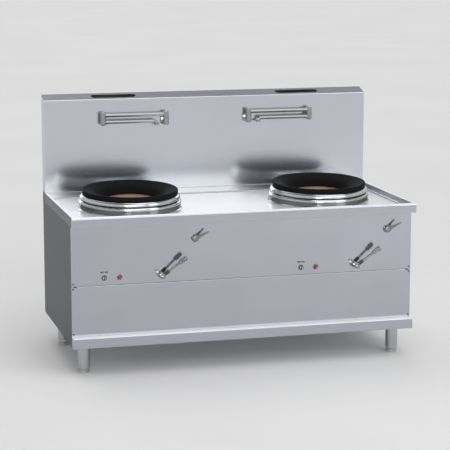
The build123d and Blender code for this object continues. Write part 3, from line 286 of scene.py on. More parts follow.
# %% [markdown]
# ### Brushed steel
# Sheet steel is polished with a belt, so its scratches run one way: along the front on the
# panels, from front to back on the sides and up the legs and collars. A stretched noise changes
# roughness and bump a little along those lines, and smears change the colour by a few percent.

# %% Make the sheet steels
def brushed_steel(name, color, roughness, lines, smear=0.04, bump=0.000004, edge=1.0, metal=1.0):
    """Stainless sheet with grain along one axis; edge below 1 dulls it at glancing angles."""
    material, shader = new_material(name, color, metal, roughness)
    shader.inputs["Specular Tint"].default_value = (edge, edge, edge, 1)
    grain = use_group(material, grain_group, Lines=lines)
    smears = use_group(material, smear_group, Size=0.35, Sharpness=0.55)
    vary(material, grain.outputs["Grain"], roughness * 0.9, roughness * 1.12)
    darker = tuple(c * (1 - smear) for c in color)
    tint(material, smears.outputs["Mask"], darker, color)
    emboss(material, grain.outputs["Grain"], bump)
    return material


ALONG_X = (2.5, 420.0, 420.0)
ALONG_Y = (420.0, 2.5, 420.0)
ALONG_Z = (420.0, 420.0, 2.5)
steel = {
    # worktop steel: brighter than the panel steel and partly diffuse, painted light for upward faces
    "worktop": brushed_steel("lit worktop steel", (0.93, 0.93, 0.94), 0.34, ALONG_X, metal=0.7),
    "panel": brushed_steel("panel steel", (0.468, 0.484, 0.534), 0.15, ALONG_X),
    # side and rim steels: darker copies of the sheet steel, painted shade on faces turned from the light
    "side": brushed_steel("shaded side steel", (0.36, 0.37, 0.39), 0.2, ALONG_Y, edge=0.35),
    "rim": brushed_steel("shaded rim steel", (0.35, 0.36, 0.38), 0.3, ALONG_Y, bump=0.000001, edge=0.5),
    "splash": brushed_steel("splashback steel", (0.60, 0.62, 0.668), 0.18, ALONG_X),
    "collar": brushed_steel("collar steel", (0.40, 0.405, 0.415), 0.12, ALONG_Z),
    # lip and wall of the same spun collar: a lighter and a much darker copy, painted light and painted shade
    "spun lip": brushed_steel("lit spun lip steel", (0.53, 0.54, 0.56), 0.16, ALONG_Z),
    "spun wall": brushed_steel("shaded spun wall steel", (0.17, 0.173, 0.18), 0.1, ALONG_Z, edge=0.5),
    "leg": brushed_steel("leg steel", (0.46, 0.465, 0.48), 0.14, ALONG_Z),
    "frame": brushed_steel("frame steel", (0.42, 0.42, 0.43), 0.42, ALONG_X),
}
print("sheet steels:", sorted(steel))


# %% [markdown]
# ### Galvanised ducts and the sooty chamber
# The flue is galvanised sheet, whose zinc shows pale crystal patches, and the chamber is plain
# steel that the fire has browned. A Voronoi texture gives the patches their straight borders.

# %% Make the duct and chamber steels
def galvanised(name):
    """Zinc-coated sheet with its crystal patches."""
    material = new_material(name, (0.55, 0.56, 0.57), 0.9, 0.4)[0]
    tree = material.node_tree
    crystals = tree.nodes.new("ShaderNodeTexVoronoi")
    crystals.inputs["Scale"].default_value = 60.0
    tree.links.new(object_place(tree), crystals.inputs["Vector"])
    patch = tree.nodes.new("ShaderNodeSeparateColor")
    tree.links.new(crystals.outputs["Color"], patch.inputs["Color"])
    tint(material, patch.outputs["Red"], (0.46, 0.47, 0.49), (0.62, 0.63, 0.64))
    vary(material, patch.outputs["Green"], 0.32, 0.5)
    return material


def browned(name, burnt, clean):
    """Plain steel tinted by heat and soot."""
    material = new_material(name, clean, 0.8, 0.5)[0]
    smears = use_group(material, smear_group, Size=0.08, Sharpness=0.6)
    tint(material, smears.outputs["Mask"], burnt, clean)
    vary(material, smears.outputs["Mask"], 0.65, 0.4)
    return material


duct_steel = galvanised("galvanised duct")
chamber_steel = browned("browned chamber steel", (0.12, 0.08, 0.06), (0.30, 0.28, 0.26))
flue_steel = browned("sooty flue steel", (0.012, 0.011, 0.011), (0.05, 0.048, 0.05))
print("made", duct_steel.name, "and", chamber_steel.name, "and", flue_steel.name)


# %% [markdown]
# ### Cast iron
# Sand casting leaves a pebbled skin a few millimetres across. One noise with several octaves
# does it, coarse for the skin and fine for its grit. Near the fire the colour changes a little and the
# skin turns dull, which the heat group measures.

# %% Make the cast irons
def cast_iron(name, color, burnt, roughness, inner, outer):
    """Black cast iron with a pebbled skin and heat marks towards the fire."""
    material, shader = new_material(name, color, 0.0, roughness)
    shader.inputs["Specular IOR Level"].default_value = 0.05
    tree = material.node_tree
    pebbles = add_noise(tree, object_place(tree), 420.0, 4.0, 0.65)
    heat = use_group(material, heat_group, Half_pitch=burner["right"].x, Inner=inner, Outer=outer)
    tint(material, heat.outputs["Heat"], color, burnt)
    vary(material, heat.outputs["Heat"], roughness, roughness + 0.2)
    emboss(material, pebbles, 0.0006, 0.7)
    return material


ring_iron = cast_iron(
    "cast wok ring", (0.0065, 0.0065, 0.0068), (0.005, 0.0048, 0.0048), 0.62, inner=0.14, outer=0.2
)
burner_iron = cast_iron(
    "cast burner head", (0.06, 0.05, 0.045), (0.10, 0.07, 0.05), 0.6, inner=0.01, outer=0.08
)
print("made", ring_iron.name, "and", burner_iron.name)


# %% [markdown]
# ### Refractory
# The fire is lined with moulded refractory, a sandy tan that soot darkens near the flame. It is
# matt, so it has no metal at all, and its grain is coarse enough to see.

# %% Make the refractory
def refractory(name):
    """Sandy, speckled lining with soot towards the bottom."""
    material = new_material(name, (0.93, 0.64, 0.48), 0.0, 0.9)[0]
    tree = material.node_tree
    place = object_place(tree)
    speckle = add_range(tree, add_noise(tree, place, 160.0, 6.0, 0.7), 0.35, 0.65)
    colour = tint(material, speckle, (0.88, 0.58, 0.42), (0.95, 0.68, 0.53))
    height = tree.nodes.new("ShaderNodeSeparateXYZ")
    tree.links.new(place, height.inputs["Vector"])
    soot = tree.nodes.new("ShaderNodeMapRange")
    soot.inputs["From Min"].default_value = deck_z - 0.10
    soot.inputs["From Max"].default_value = deck_z - 0.18
    soot.inputs["To Max"].default_value = 0.75
    tree.links.new(height.outputs["Z"], soot.inputs["Value"])
    tint(material, soot.outputs["Result"], colour, (0.05, 0.035, 0.03))
    emboss(material, speckle, 0.0012, 0.8)
    return material


lining_clay = refractory("refractory lining")
print("made", lining_clay.name)


# %% [markdown]
# ### Bright parts, paint, brass and plastic
# Taps and levers are polished and plated, so they take almost all their look from what they
# mirror. They still need a little unevenness, or they look like computer chrome.

# %% Make the small finishes
def plated(name, color, roughness):
    """Polished plating with faint smears."""
    material = new_material(name, color, 1.0, roughness)[0]
    smears = use_group(material, smear_group, Size=0.03, Sharpness=0.5)
    vary(material, smears.outputs["Mask"], roughness, roughness * 2.2)
    return material


def moulded(name, color, roughness, coat=0.0, grit=0.0):
    """Moulded plastic, rubber or paint with a slight mottling."""
    material, shader = new_material(name, color, 0.0, roughness)
    shader.inputs["Coat Weight"].default_value = coat
    smears = use_group(material, smear_group, Size=0.02, Sharpness=0.6)
    mask = smears.outputs["Mask"]
    vary(material, mask, roughness * 0.85, min(1.0, roughness * 1.25))
    tint(material, mask, tuple(c * 0.9 for c in color), color)
    if grit:
        tree = material.node_tree
        emboss(material, add_noise(tree, object_place(tree), 900.0, 2.0, 0.5), grit)
    return material


chrome = plated("polished chrome", (0.34, 0.343, 0.35), 0.12)
lever_steel = plated("polished lever steel", (0.27, 0.275, 0.285), 0.17)
satin = plated("satin chrome", (0.58, 0.58, 0.58), 0.2)
brass = plated("valve brass", (0.66, 0.48, 0.22), 0.22)
pipe_steel = brushed_steel("pipe steel", (0.55, 0.55, 0.56), 0.3, ALONG_X)
motor_paint = moulded("motor paint", (0.10, 0.12, 0.14), 0.42, coat=0.3)
box_paint = moulded("box paint", (0.33, 0.34, 0.35), 0.5, grit=0.0001)
knob_plastic = moulded("black knob", (0.018, 0.018, 0.02), 0.28)
button_plastic = moulded("red button", (0.34, 0.012, 0.02), 0.22, coat=0.5)
sleeve_rubber = moulded("lever sleeve", (0.05, 0.05, 0.055), 0.5, grit=0.0001)
gland_plastic = moulded("cable gland", (0.03, 0.03, 0.03), 0.55, grit=0.0001)
dark_screw = plated("blackened screws", (0.09, 0.09, 0.095), 0.3)
mark_ink = moulded("marking ink", (0.015, 0.015, 0.02), 0.5)
print("small finishes ready")

# %% [markdown]
# ## Dressing the CAD pieces
# A CAD piece whose shape is right keeps its mesh and only changes its material. The table says
# which finish goes on which piece, with a star where there is one on each side, and the cell
# stops if a piece has been forgotten. The rims and the toe rail are folded from sheet, and the faces
# that look up get the brighter worktop steel as a second finish: painted light, as if those tops
# caught the light from above.

# %% Put the finishes on
PIECES_BY_FINISH = [
    (steel["worktop"], "worktop_deck"),
    (steel["panel"], "worktop_front_edge splashback_back rear_panel bottom_shelf control_panel"),
    (steel["panel"], "access_panel toe_rail"),
    (steel["splash"], "worktop_rear_edge splashback_front"),
    (steel["rim"], "worktop_side_edges"),
    (steel["side"], "side_panel_*"),
    (steel["frame"], "frame_posts frame_rails"),
    (steel["leg"], "legs foot_front_* foot_rear_*"),
    (steel["collar"], "burner_collar_*"),
    (pipe_steel, "gas_manifold burner_air_pipes water_pipes"),
    (brass, "gas_valves pilot_burners water_valves"),
    (duct_steel, "blower_housings blower_impeller_*"),
    (chamber_steel, "combustion_chamber_*"),
    (flue_steel, "flue_duct_*"),
    (ring_iron, "wok_ring_*"),
    (burner_iron, "burner_head_*"),
    (lining_clay, "fire_lining_*"),
    (chrome, "control_bezels gas_lever_* water_lever_* tap_bracket_* tap_arm_* tap_spout_*"),
    (motor_paint, "blower_motors"),
    (box_paint, "control_box"),
    (gland_plastic, "cable_gland"),
    (knob_plastic, "switch_knob_*"),
    (button_plastic, "igniter_button_*"),
    (dark_screw, "panel_screws"),
]
finish_of = {}
for finish, names in PIECES_BY_FINISH:
    for side in SIDES:
        finish_of |= dict.fromkeys(names.replace("*", side).split(), finish)
for name, node in nodes.items():
    node.data.materials.clear()
    node.data.materials.append(finish_of[name])
# faces that look up get the lit worktop steel: painted light on the tops
for name in ("worktop_front_edge", "worktop_side_edges", "toe_rail"):
    node = nodes[name]
    node.data.materials.append(steel["worktop"])
    for face in node.data.polygons:
        face.material_index = 1 if face.normal.z > 0.75 else 0
print("dressed", len(finish_of), "of", len(nodes), "CAD pieces")

# %% [markdown]
# ## Tools for new pieces
# Most small metal parts are turned on a lathe, so one helper turns a profile of radius and
# height points round an axis. A second rounds the corners of such a profile, because a real
# edge always catches a line of light. Sections are written in millimetres, as on a drawing. The
# last helper puts finished parts together into one piece.

# %% Mesh helpers
MM = 0.001
TO_COOK = (0, -1, 0)


def add_object(name, data):
    """An object in the scene for a mesh, a curve, a lamp or a camera."""
    made = bpy.data.objects.new(name, data)
    bpy.context.scene.collection.objects.link(made)
    return made


def worked_out(thing):
    """The mesh of an object with its modifiers or its curve worked out."""
    graph = bpy.context.evaluated_depsgraph_get()
    return bpy.data.meshes.new_from_object(thing.evaluated_get(graph))


def in_metres(points):
    """Pairs written in millimetres, in metres."""
    return [(a * MM, b * MM) for a, b in points]


def rounded(profile, radius, steps=4):
    """The profile with each inner corner replaced by a small arc, all in metres."""
    points = [Vector(p) for p in profile]
    made = [points[0]]
    for before, corner, after in zip(points, points[1:], points[2:]):
        into = before - corner
        out = after - corner
        reach = min(radius, into.length * 0.45, out.length * 0.45)
        start = corner + into.normalized() * reach
        end = corner + out.normalized() * reach
        for i in range(steps + 1):
            t = i / steps
            made.append(start * (1 - t) ** 2 + corner * 2 * t * (1 - t) + end * t ** 2)
    return made + [points[-1]]


def lathe(profile, steps=48, closed=False, flutes=0, depth=0.0, fluted=None):
    """A profile of (radius, height) turned round Z; flutes cut grooves along the fluted heights."""
    mesh = bmesh.new()
    rings = []
    for radius, height in profile:
        if radius < 1e-6:
            rings.append([mesh.verts.new((0, 0, height))])
            continue
        ring = []
        for i in range(steps):
            angle = 2 * math.pi * i / steps
            cut = depth * (0.5 - 0.5 * math.cos(flutes * angle)) if flutes and fluted(height) else 0.0
            reach = radius - cut
            ring.append(mesh.verts.new((reach * math.cos(angle), reach * math.sin(angle), height)))
        rings.append(ring)
    pairs = list(zip(rings, rings[1:])) + ([(rings[-1], rings[0])] if closed else [])
    for low, high in pairs:
        for i in range(steps):
            j = (i + 1) % steps
            corners = [low[i % len(low)], low[j % len(low)], high[j % len(high)], high[i % len(high)]]
            corners = list(dict.fromkeys(corners))
            if len(corners) > 2:
                mesh.faces.new(corners)
    return mesh


def turned(section, soft, steps=48, arc=4, **options):
    """A section in millimetres with soft corners, turned round Z."""
    return lathe(rounded(in_metres(section), soft * MM, arc), steps, **options)


def prism(outline, low, high):
    """A flat outline in X and Y drawn out along Z."""
    mesh = bmesh.new()
    bottom = [mesh.verts.new((x, y, low)) for x, y in outline]
    top = [mesh.verts.new((x, y, high)) for x, y in outline]
    mesh.faces.new(list(reversed(bottom)))
    mesh.faces.new(top)
    for i in range(len(outline)):
        j = (i + 1) % len(outline)
        mesh.faces.new([bottom[i], bottom[j], top[j], top[i]])
    return mesh


def bar(x, y, z):
    """A square-edged bar between pairs of millimetres along each axis."""
    outline = [(x[0], y[0]), (x[1], y[0]), (x[1], y[1]), (x[0], y[1])]
    return prism(in_metres(outline), z[0] * MM, z[1] * MM)


def aim(start, direction, side=(0, 0, 1)):
    """The matrix that puts local Z along a direction and local X towards a side."""
    z = Vector(direction).normalized()
    x = Vector(side) - z * z.dot(Vector(side))
    x.normalize()
    place = Matrix((x, z.cross(x), z)).transposed().to_4x4()
    place.translation = Vector(start)
    return place


def on_panel(name):
    """The place on the front panel at the middle of a control."""
    low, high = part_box(name)
    return aim(((low.x + high.x) / 2, panel_y, (low.z + high.z) / 2), TO_COOK)


def make_piece(name, body, parts, angle=40):
    """One named piece from (mesh, matrix, material) parts, riding on a body."""
    joined = bmesh.new()
    data = bpy.data.meshes.new(name)
    finishes = []
    for part, matrix, finish in parts:
        if finish not in finishes:
            finishes.append(finish)
        for face in part.faces:
            face.material_index = finishes.index(finish)
            face.smooth = True
        bmesh.ops.transform(part, matrix=matrix, verts=part.verts)
        bmesh.ops.recalc_face_normals(part, faces=part.faces)
        part.to_mesh(data)
        part.free()
        joined.from_mesh(data)
    joined.to_mesh(data)
    joined.free()
    for finish in finishes:
        data.materials.append(finish)
    data.set_sharp_from_angle(angle=math.radians(angle))
    piece = add_object(name, data)
    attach(piece, body)
    return piece


def bevelled(mesh, width, segments=2):
    """Rounds every edge of a mesh."""
    bmesh.ops.bevel(
        mesh, geom=list(mesh.edges), offset=width, segments=segments, profile=0.5, affect="EDGES"
    )
    return mesh


print("mesh helpers ready")


# %% [markdown]
# ## Screws
# The front panels are held by pan-head screws. A CAD disc is enough for strength; the eye wants
# the dome and the cross. The cross is a real recess: a cutter shaped like a plus is taken out of
# each dome with a Boolean. No two heads end at the same angle, as a screwdriver leaves them.

# %% Make the screw heads
HEAD_RADIUS = 4.5
ROW_GAP = 12 * MM


def plus_outline(arm, half):
    """The outline of a plus sign."""
    quarter = [(arm, -half), (arm, half), (half, half)]
    outline = []
    for turn in range(4):
        a = turn * math.pi / 2
        c, s = math.cos(a), math.sin(a)
        outline += [(x * c - y * s, x * s + y * c) for x, y in quarter]
    return outline


def cut_mesh(target, cutter):
    """The target mesh with the cutter taken out of it."""
    objects = []
    for mesh in (target, cutter):
        bmesh.ops.recalc_face_normals(mesh, faces=mesh.faces)
        data = bpy.data.meshes.new("workpiece")
        mesh.to_mesh(data)
        mesh.free()
        objects.append(add_object("workpiece", data))
    boolean = objects[0].modifiers.new("cut", "BOOLEAN")
    boolean.operation = "DIFFERENCE"
    boolean.object = objects[1]
    boolean.solver = "EXACT"
    result = worked_out(objects[0])
    for workpiece in objects:
        bpy.data.objects.remove(workpiece)
    cut = bmesh.new()
    cut.from_mesh(result)
    return cut


def screw_head():
    """A pan head, 9 mm across, with its cross recess."""
    dome = turned([(0, 0), (HEAD_RADIUS, 0), (4.4, 1.3), (3.0, 2.4), (0, 2.6)], 0.5, 32)
    return cut_mesh(dome, prism(plus_outline(2.4 * MM, 0.5 * MM), 1.2 * MM, 4 * MM))


def row_centres(heights):
    """The middle of each run of heights that lie closer together than the gap between rows."""
    runs = [[heights[0]]]
    for height in heights[1:]:
        if height - runs[-1][-1] > ROW_GAP:
            runs.append([])
        runs[-1].append(height)
    return [(run[0] + run[-1]) / 2 for run in runs]


low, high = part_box("panel_screws")
screw_x = high.x - HEAD_RADIUS * MM
rows = row_centres(sorted({round(v.co.z, 4) for v in nodes["panel_screws"].data.vertices}))
heads = []
for x in (-screw_x, screw_x):
    for i, z in enumerate(rows):
        spin = Matrix.Rotation(0.5 + 0.9 * i + (0.4 if x > 0 else 0), 4, "Z")
        heads.append((screw_head(), aim((x, panel_y, z), TO_COOK) @ spin, dark_screw))
screws = make_piece("panel_screw_heads", "range", heads, 30)
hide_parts("panel_screws")
print("screw rows at", [round(z, 4) for z in rows])

# %% [markdown]
# ## Wok rings
# The CAD ring has the right section but sharp edges. Cast iron has none: the sand leaves every
# edge rounded, and the ring has a fine parting line where the halves of the mould met, and a
# notch under its rim, front and back, for the lifting hook. The section is rounded and turned,
# the columns of points at the parting line are pulled together and sunk, and the notches are cut.

# %% Cast the wok rings
RING_TILT = math.radians(2.3)
RING_STEPS = 240
PARTING_ANGLE = math.radians(100.5)
NOTCH_ANGLES = (178.0, -2.0)
RING_SECTION = [
    (233, 75.3), (249, 75.3), (249, 97), (245, 101), (237, 101), (162, 73), (132, 51), (132, 44), (140, 44),
    (165, 62), (222, 84.4), (222, 69.3), (233, 69.3),
]


def on_tray(side):
    """The place of a burner's middle on the tray floor."""
    return Matrix.Translation((burner[side].x, burner[side].y, deck_z))


def leaning(side):
    """The same place, leaned towards the cook."""
    return on_tray(side) @ Matrix.Rotation(RING_TILT, 4, "X")


def cast_ring():
    """The ring standing on the tray floor, before it is leaned forward."""
    ring = turned(RING_SECTION, 3.5, RING_STEPS, closed=True)
    step = 2 * math.pi / RING_STEPS
    for vertex in ring.verts:
        radius, angle = vertex.co.xy.length, math.atan2(vertex.co.y, vertex.co.x)
        away = (angle - PARTING_ANGLE + math.pi) % (2 * math.pi) - math.pi
        if abs(away) < 0.4 * step and vertex.co.z > 64 * MM:
            vertex.co.z -= 1.6 * MM
        elif abs(away) < 1.6 * step:
            near = PARTING_ANGLE + math.copysign(2.2 * MM / radius, away)
            vertex.co.x, vertex.co.y = radius * math.cos(near), radius * math.sin(near)
    return ring


def hook_notch(angle):
    """The tool that cuts one notch under the rim."""
    tool = bar((-4.5, 4.5), (241, 252), (74, 82))
    spun = Matrix.Rotation(math.radians(angle), 3, "Z")
    bmesh.ops.rotate(tool, verts=tool.verts, cent=(0, 0, 0), matrix=spun)
    return tool


for side in SIDES:
    ring = cast_ring()
    for angle in NOTCH_ANGLES:
        ring = cut_mesh(ring, hook_notch(angle))
    piece = make_piece(f"wok_ring_casting_{side}", f"wok_ring_{side}", [(ring, leaning(side), ring_iron)], 50)
    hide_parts(f"wok_ring_{side}")
    print(piece.name, "faces", len(piece.data.polygons))

# %% [markdown]
# ## Burner collars
# The collars are spun from sheet: a flat seat, a fat rolled lip, a groove, a bead and a plain
# wall. What the eye sees is the roundness of lip and bead, each with its own line of light. Lip and
# bead get a lighter copy of the steel and groove and wall a much darker one: painted light and
# painted shade on one sheet. The same lathe turns them, and since a collar leans but is trimmed
# level, the points that end up below the tray floor are lifted back to it.

# %% Spin the burner collars
LIP_SECTION = [
    (236, 75), (249, 75), (255, 72), (259, 65), (261, 57), (260, 53), (252, 51), (249, 51), (257, 55),
    (256, 64), (252, 71), (248, 73), (236, 73),
]
BEAD_SECTION = [
    (257, 47.6), (262, 46.4), (266, 42.5), (267.4, 38), (267, 33.6), (265.3, 31.6), (263.3, 31.6), (264, 38),
    (261, 43.5), (257, 45.6),
]
GROOVE_SECTION = [(249, 52), (251, 47.8), (257.4, 47.4), (257.4, 45.8), (249, 45.5)]
WALL_RADIUS = 265
WALL_SECTION = [(WALL_RADIUS, 33), (WALL_RADIUS, -14), (263.2, -14), (263.2, 33)]
for side in SIDES:
    shells = []
    # lighter steel on lip and bead is painted light, darker steel on groove and wall is painted shade
    for section, soft, finish in (
        (LIP_SECTION, 3, "spun lip"), (BEAD_SECTION, 1.5, "spun lip"),
        (GROOVE_SECTION, 0.3, "spun wall"), (WALL_SECTION, 0.1, "spun wall"),
    ):
        mesh = turned(section, soft, 200, arc=5, closed=True)
        bmesh.ops.transform(mesh, matrix=leaning(side), verts=mesh.verts)
        for vertex in mesh.verts:
            vertex.co.z = max(vertex.co.z, deck_z)
        shells.append((mesh, Matrix.Identity(4), steel[finish]))
    piece = make_piece(f"spun_collar_{side}", "range", shells, 60)
    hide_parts(f"burner_collar_{side}")
    print(piece.name, "faces", len(piece.data.polygons))

# %% [markdown]
# ## Gas levers
# Each long lever opens gas and air together. It has a short hub close to the panel, a dark
# sleeve at the root of the arm, a thin rod that leans outwards and a heavy barrel grip with
# turned grooves. The joint's own axis says where the hub is.

# %% Make the gas levers
LEVER_OUT = 29 * MM
LEVER_ANGLE = math.radians(39)
LEVER_LEAN = math.radians(12)


def gas_lever(side):
    """The lever as one piece on its own body."""
    joint = joints[f"gas_lever_{side}_turn"]
    base = Vector(joint["pos_m"])
    along = Vector((math.cos(LEVER_ANGLE), 0, math.sin(LEVER_ANGLE)))
    out = aim(base, TO_COOK, along)
    hub = [
        (0, 1), (16, 1), (16, 5), (12.5, 8), (12.5, 17), (14.5, 19), (14.5, 43), (6, 44), (6, 42), (0, 42),
    ]
    slot_screw = cut_mesh(
        turned([(0, 39), (5.2, 39), (5.2, 43.6), (0, 44.4)], 0.6, 32), bar((-7, 7), (-0.6, 0.6), (43, 46))
    )
    arm = aim(base + Vector((0, -LEVER_OUT, 0)), along + Vector((0, -math.tan(LEVER_LEAN), 0)), TO_COOK)
    ribs = [(0, 10), (9.5, 10)]
    for i in range(6):
        z = 13 + i * 4.6
        ribs += [(9.8, z), (9.8, z + 2.6), (8.8, z + 3.1), (8.8, z + 4.1)]
    ribs += [(9.8, 41), (7.5, 43), (0, 43)]
    rod = [(0, 30), (6, 30), (6, 112), (0, 112)]
    grip = [
        (0, 108), (9, 108), (12, 111), (12, 117), (11, 118), (12, 119), (12, 131), (12, 143), (11, 144),
        (12, 145), (12, 151), (9, 154), (0, 154),
    ]
    knurl = {"flutes": 36, "depth": 0.5 * MM, "fluted": lambda z: 119.5 * MM < z < 142.5 * MM}
    piece = make_piece(f"gas_lever_handle_{side}", f"gas_lever_{side}", [
        (turned(hub, 1.2), out, lever_steel),
        (slot_screw, out @ Matrix.Rotation(0.7, 4, "Z"), satin),
        (lathe(in_metres(ribs), 32), arm, sleeve_rubber),
        (lathe(in_metres(rod), 32), arm, lever_steel),
        (turned(grip, 1.0, 72, **knurl), arm, lever_steel),
    ], 35)
    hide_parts(f"gas_lever_{side}")
    return piece


for side in SIDES:
    piece = gas_lever(side)
    print(piece.name, "faces", len(piece.data.polygons))

# %% [markdown]
# ## Water levers
# The tap valves have a domed round hub and a flat lever that leans outwards and narrows to its
# tip. A tapered profile turned along the lever's own line and then flattened is simpler than
# lofting one section into another.

# %% Make the water levers
def water_lever(side):
    """Hub and lever as one piece on its own body."""
    base = Vector(joints[f"water_lever_{side}_turn"]["pos_m"])
    hub = [
        (0, 1), (17.5, 1), (19, 3), (19, 7), (18, 8), (18, 9), (18.6, 10), (17.5, 16), (12, 20), (5, 21),
        (0, 21),
    ]
    root = base + Vector((0, -11 * MM, 0))
    tip = base + Vector((56 * MM, -50 * MM, 37 * MM))
    length = (tip - root).length / MM
    blade = [
        (0, 2), (10, 2), (9.6, 14), (6.6, length * 0.55), (4.4, length - 8), (4.2, length),
        (2.8, length + 3.4), (0, length + 4),
    ]
    flat = Matrix.Diagonal((1, 0.7, 1, 1))
    piece = make_piece(f"water_lever_handle_{side}", f"water_lever_{side}", [
        (turned(hub, 1.5, 56), aim(base, TO_COOK), lever_steel),
        (turned(blade, 6, 40), aim(root, tip - root, (-37, 0, 56)) @ flat, lever_steel),
    ])
    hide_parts(f"water_lever_{side}")
    return piece


for side in SIDES:
    piece = water_lever(side)
    print(piece.name, "faces", len(piece.data.polygons))

# %% [markdown]
# ## Switches and igniter buttons
# A switch is a black knob with a raised finger grip in a bright bezel, and the igniter is a
# domed red button in the same bezel. The bezels belong to the body; knob and button move.

# %% Make the bezels, knobs and buttons
def bezel():
    """A turned ring with a chamfered lip."""
    section = [(10.2, -2), (15, 0), (15, 1.2), (13.2, 3.2), (11.4, 3.2), (10.2, 1.6)]
    return turned(section, 0.5, closed=True)


def barrel():
    """The threaded barrel behind the panel."""
    return turned([(10.2, -2), (12.4, -2), (12.4, -26), (10.2, -26)], 0.4, 40, closed=True)


rings = []
for side in SIDES:
    for control in (f"switch_knob_{side}", f"igniter_button_{side}"):
        rings += [(bezel(), on_panel(control), chrome), (barrel(), on_panel(control), satin)]
bezels = make_piece("bezel_rings", "range", rings, 30)
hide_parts("control_bezels")
for side in SIDES:
    place = on_panel(f"switch_knob_{side}")
    skirt = turned([(0, -14), (3, -14), (3, 1), (9.8, 1), (9.8, 8), (8.6, 9.6), (0, 9.8)], 0.8)
    grip = bevelled(bar((-9.2, 9.2), (-2.4, 2.4), (8, 16)), 1.0 * MM)
    line = bar((3, 8.6), (-0.5, 0.5), (15.9, 16.15))
    face = turned([(0, 9), (7.6, 9), (7.6, 10.4), (0, 10.4)], 0.4)
    knob = make_piece(f"switch_grip_{side}", f"switch_knob_{side}", [
        (skirt, place, knob_plastic), (face, place, satin), (grip, place, knob_plastic), (line, place, satin),
    ], 35)
    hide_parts(f"switch_knob_{side}")
    place = on_panel(f"igniter_button_{side}")
    dome = turned([(0, -11), (9.5, -11), (9.5, 8), (8, 10.6), (4, 11.2), (0, 11.2)], 1.6)
    button = make_piece(f"igniter_dome_{side}", f"igniter_button_{side}", [(dome, place, button_plastic)])
    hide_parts(f"igniter_button_{side}")
    print(knob.name, button.name)

# %% [markdown]
# ## Swing taps
# The CAD tubes are right, but real taps are screwed together: a domed flange and a hex nut on
# the wall, turned caps on the hubs, sleeves on the tubes and a knurled outlet. These ride with
# the part they are screwed to, so they stay on it when the tap unfolds.

# %% Make the tap fittings
OUTLET_RADIUS = 11.5 * MM


def hex_nut(across, low, high, hole):
    """A chamfered hexagon nut round a hole, measured in millimetres."""
    corner = across * MM / math.sqrt(3)
    turns = [math.radians(60 * i) for i in range(6)]
    blank = prism([(corner * math.cos(t), corner * math.sin(t)) for t in turns], low * MM, high * MM)
    drill = [(0, low - 1), (hole, low - 1), (hole, high + 1), (0, high + 1)]
    return cut_mesh(bevelled(blank, 0.8 * MM), lathe(in_metres(drill), 32))


def tap_places(side):
    """Column, knuckle and outlet of one tap, from the joints and the spout's box."""
    column = Vector(joints[f"tap_{side}_arm_swing"]["pos_m"])
    knuckle = Vector(joints[f"tap_{side}_spout_swing"]["pos_m"])
    low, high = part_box(f"tap_spout_{side}")
    outlet_x = high.x - OUTLET_RADIUS if side == "left" else low.x + OUTLET_RADIUS
    return column, knuckle, Vector((outlet_x, column.y, low.z))


for side in SIDES:
    column, knuckle, outlet = tap_places(side)
    wall = Vector((column.x, splash_y, knuckle.z))
    flange = [(12, 0), (25, 0), (25, 2), (21, 6), (14, 8), (12, 8)]
    washer = [(15, -10), (16.6, -10), (16.6, -3), (15, -3)]
    split = (column.z + knuckle.z) / 2
    top = column.z + 14.5 * MM
    make_piece(f"tap_wall_fittings_{side}", "range", [
        (turned(flange, 1.2, 56, closed=True), aim(wall, TO_COOK), chrome),
        (hex_nut(30, 9, 19, 11), aim(wall, TO_COOK), chrome),
        (turned(washer, 0.6, closed=True), Matrix.Translation((column.x, column.y, split)), chrome),
    ])
    cap = [(0, -1), (11, -1), (11, 1.5), (7, 3.6), (0, 4)]
    collar = [(10, 15), (11.8, 15), (11.8, 27), (10, 27)]
    across = Vector((1, 0, 0)) if knuckle.x > column.x else Vector((-1, 0, 0))
    make_piece(f"tap_arm_fittings_{side}", f"tap_arm_{side}", [
        (turned(cap, 1.2, 40), Matrix.Translation((column.x, column.y, top)), chrome),
        (turned(cap, 1.2, 40), Matrix.Translation((knuckle.x, knuckle.y, top)), chrome),
        (turned(collar, 0.8, 40, closed=True), aim(column, across), chrome),
        (turned(collar, 0.8, 40, closed=True), aim((knuckle.x, knuckle.y, column.z), -across), chrome),
    ])
    below = [(0, -3.6), (7, -3.4), (11, -1), (11, 1), (0, 1)]
    sleeve = [(9.5, 15), (11.4, 15), (11.4, 26), (9.5, 26)]
    outlet_ring = [(8, 0), (12.4, 0), (12.4, 2), (12.4, 4), (12.4, 8), (12.4, 10), (9.4, 13), (8, 13)]
    knurl = {"flutes": 36, "depth": 0.5 * MM, "fluted": lambda z: 2.5 * MM < z < 9.5 * MM}
    make_piece(f"tap_spout_fittings_{side}", f"tap_spout_{side}", [
        (turned(below, 1.2, 40), Matrix.Translation((knuckle.x, knuckle.y, knuckle.z - 14.5 * MM)), chrome),
        (turned(sleeve, 0.8, 40, closed=True), aim(knuckle, -across), chrome),
        (turned(outlet_ring, 0.7, 72, closed=True, **knurl), Matrix.Translation(outlet), chrome),
    ])
    print("tap", side, "outlet at", [round(v, 3) for v in outlet])


# %% [markdown]
# ## Folds, corners and the seam
# Sheet metal shows itself at its edges. The splashback stands on the tray with a rolled hem, the
# lower front panel has a rolled top that draws the bright line of the seam, in the lighter
# splashback steel as a partly painted highlight, the front apron has a thin roll along its foot in
# dark steel as a painted shadow line, and the corners of the tray are filled and ground to a hollow
# so that a cloth reaches them, in the same dark steel as painted shade. Each is one small outline
# drawn along a line, so one helper makes them all.

# %% Make the hems and the tray corners
SLOT_CLEARANCE = 30 * MM


def strip(outline, start, end, outward):
    """An outline drawn from start to end; its X looks outward from the sheet."""
    start, end = Vector(start), Vector(end)
    return prism(outline, 0, (end - start).length), aim(start, end - start, outward)


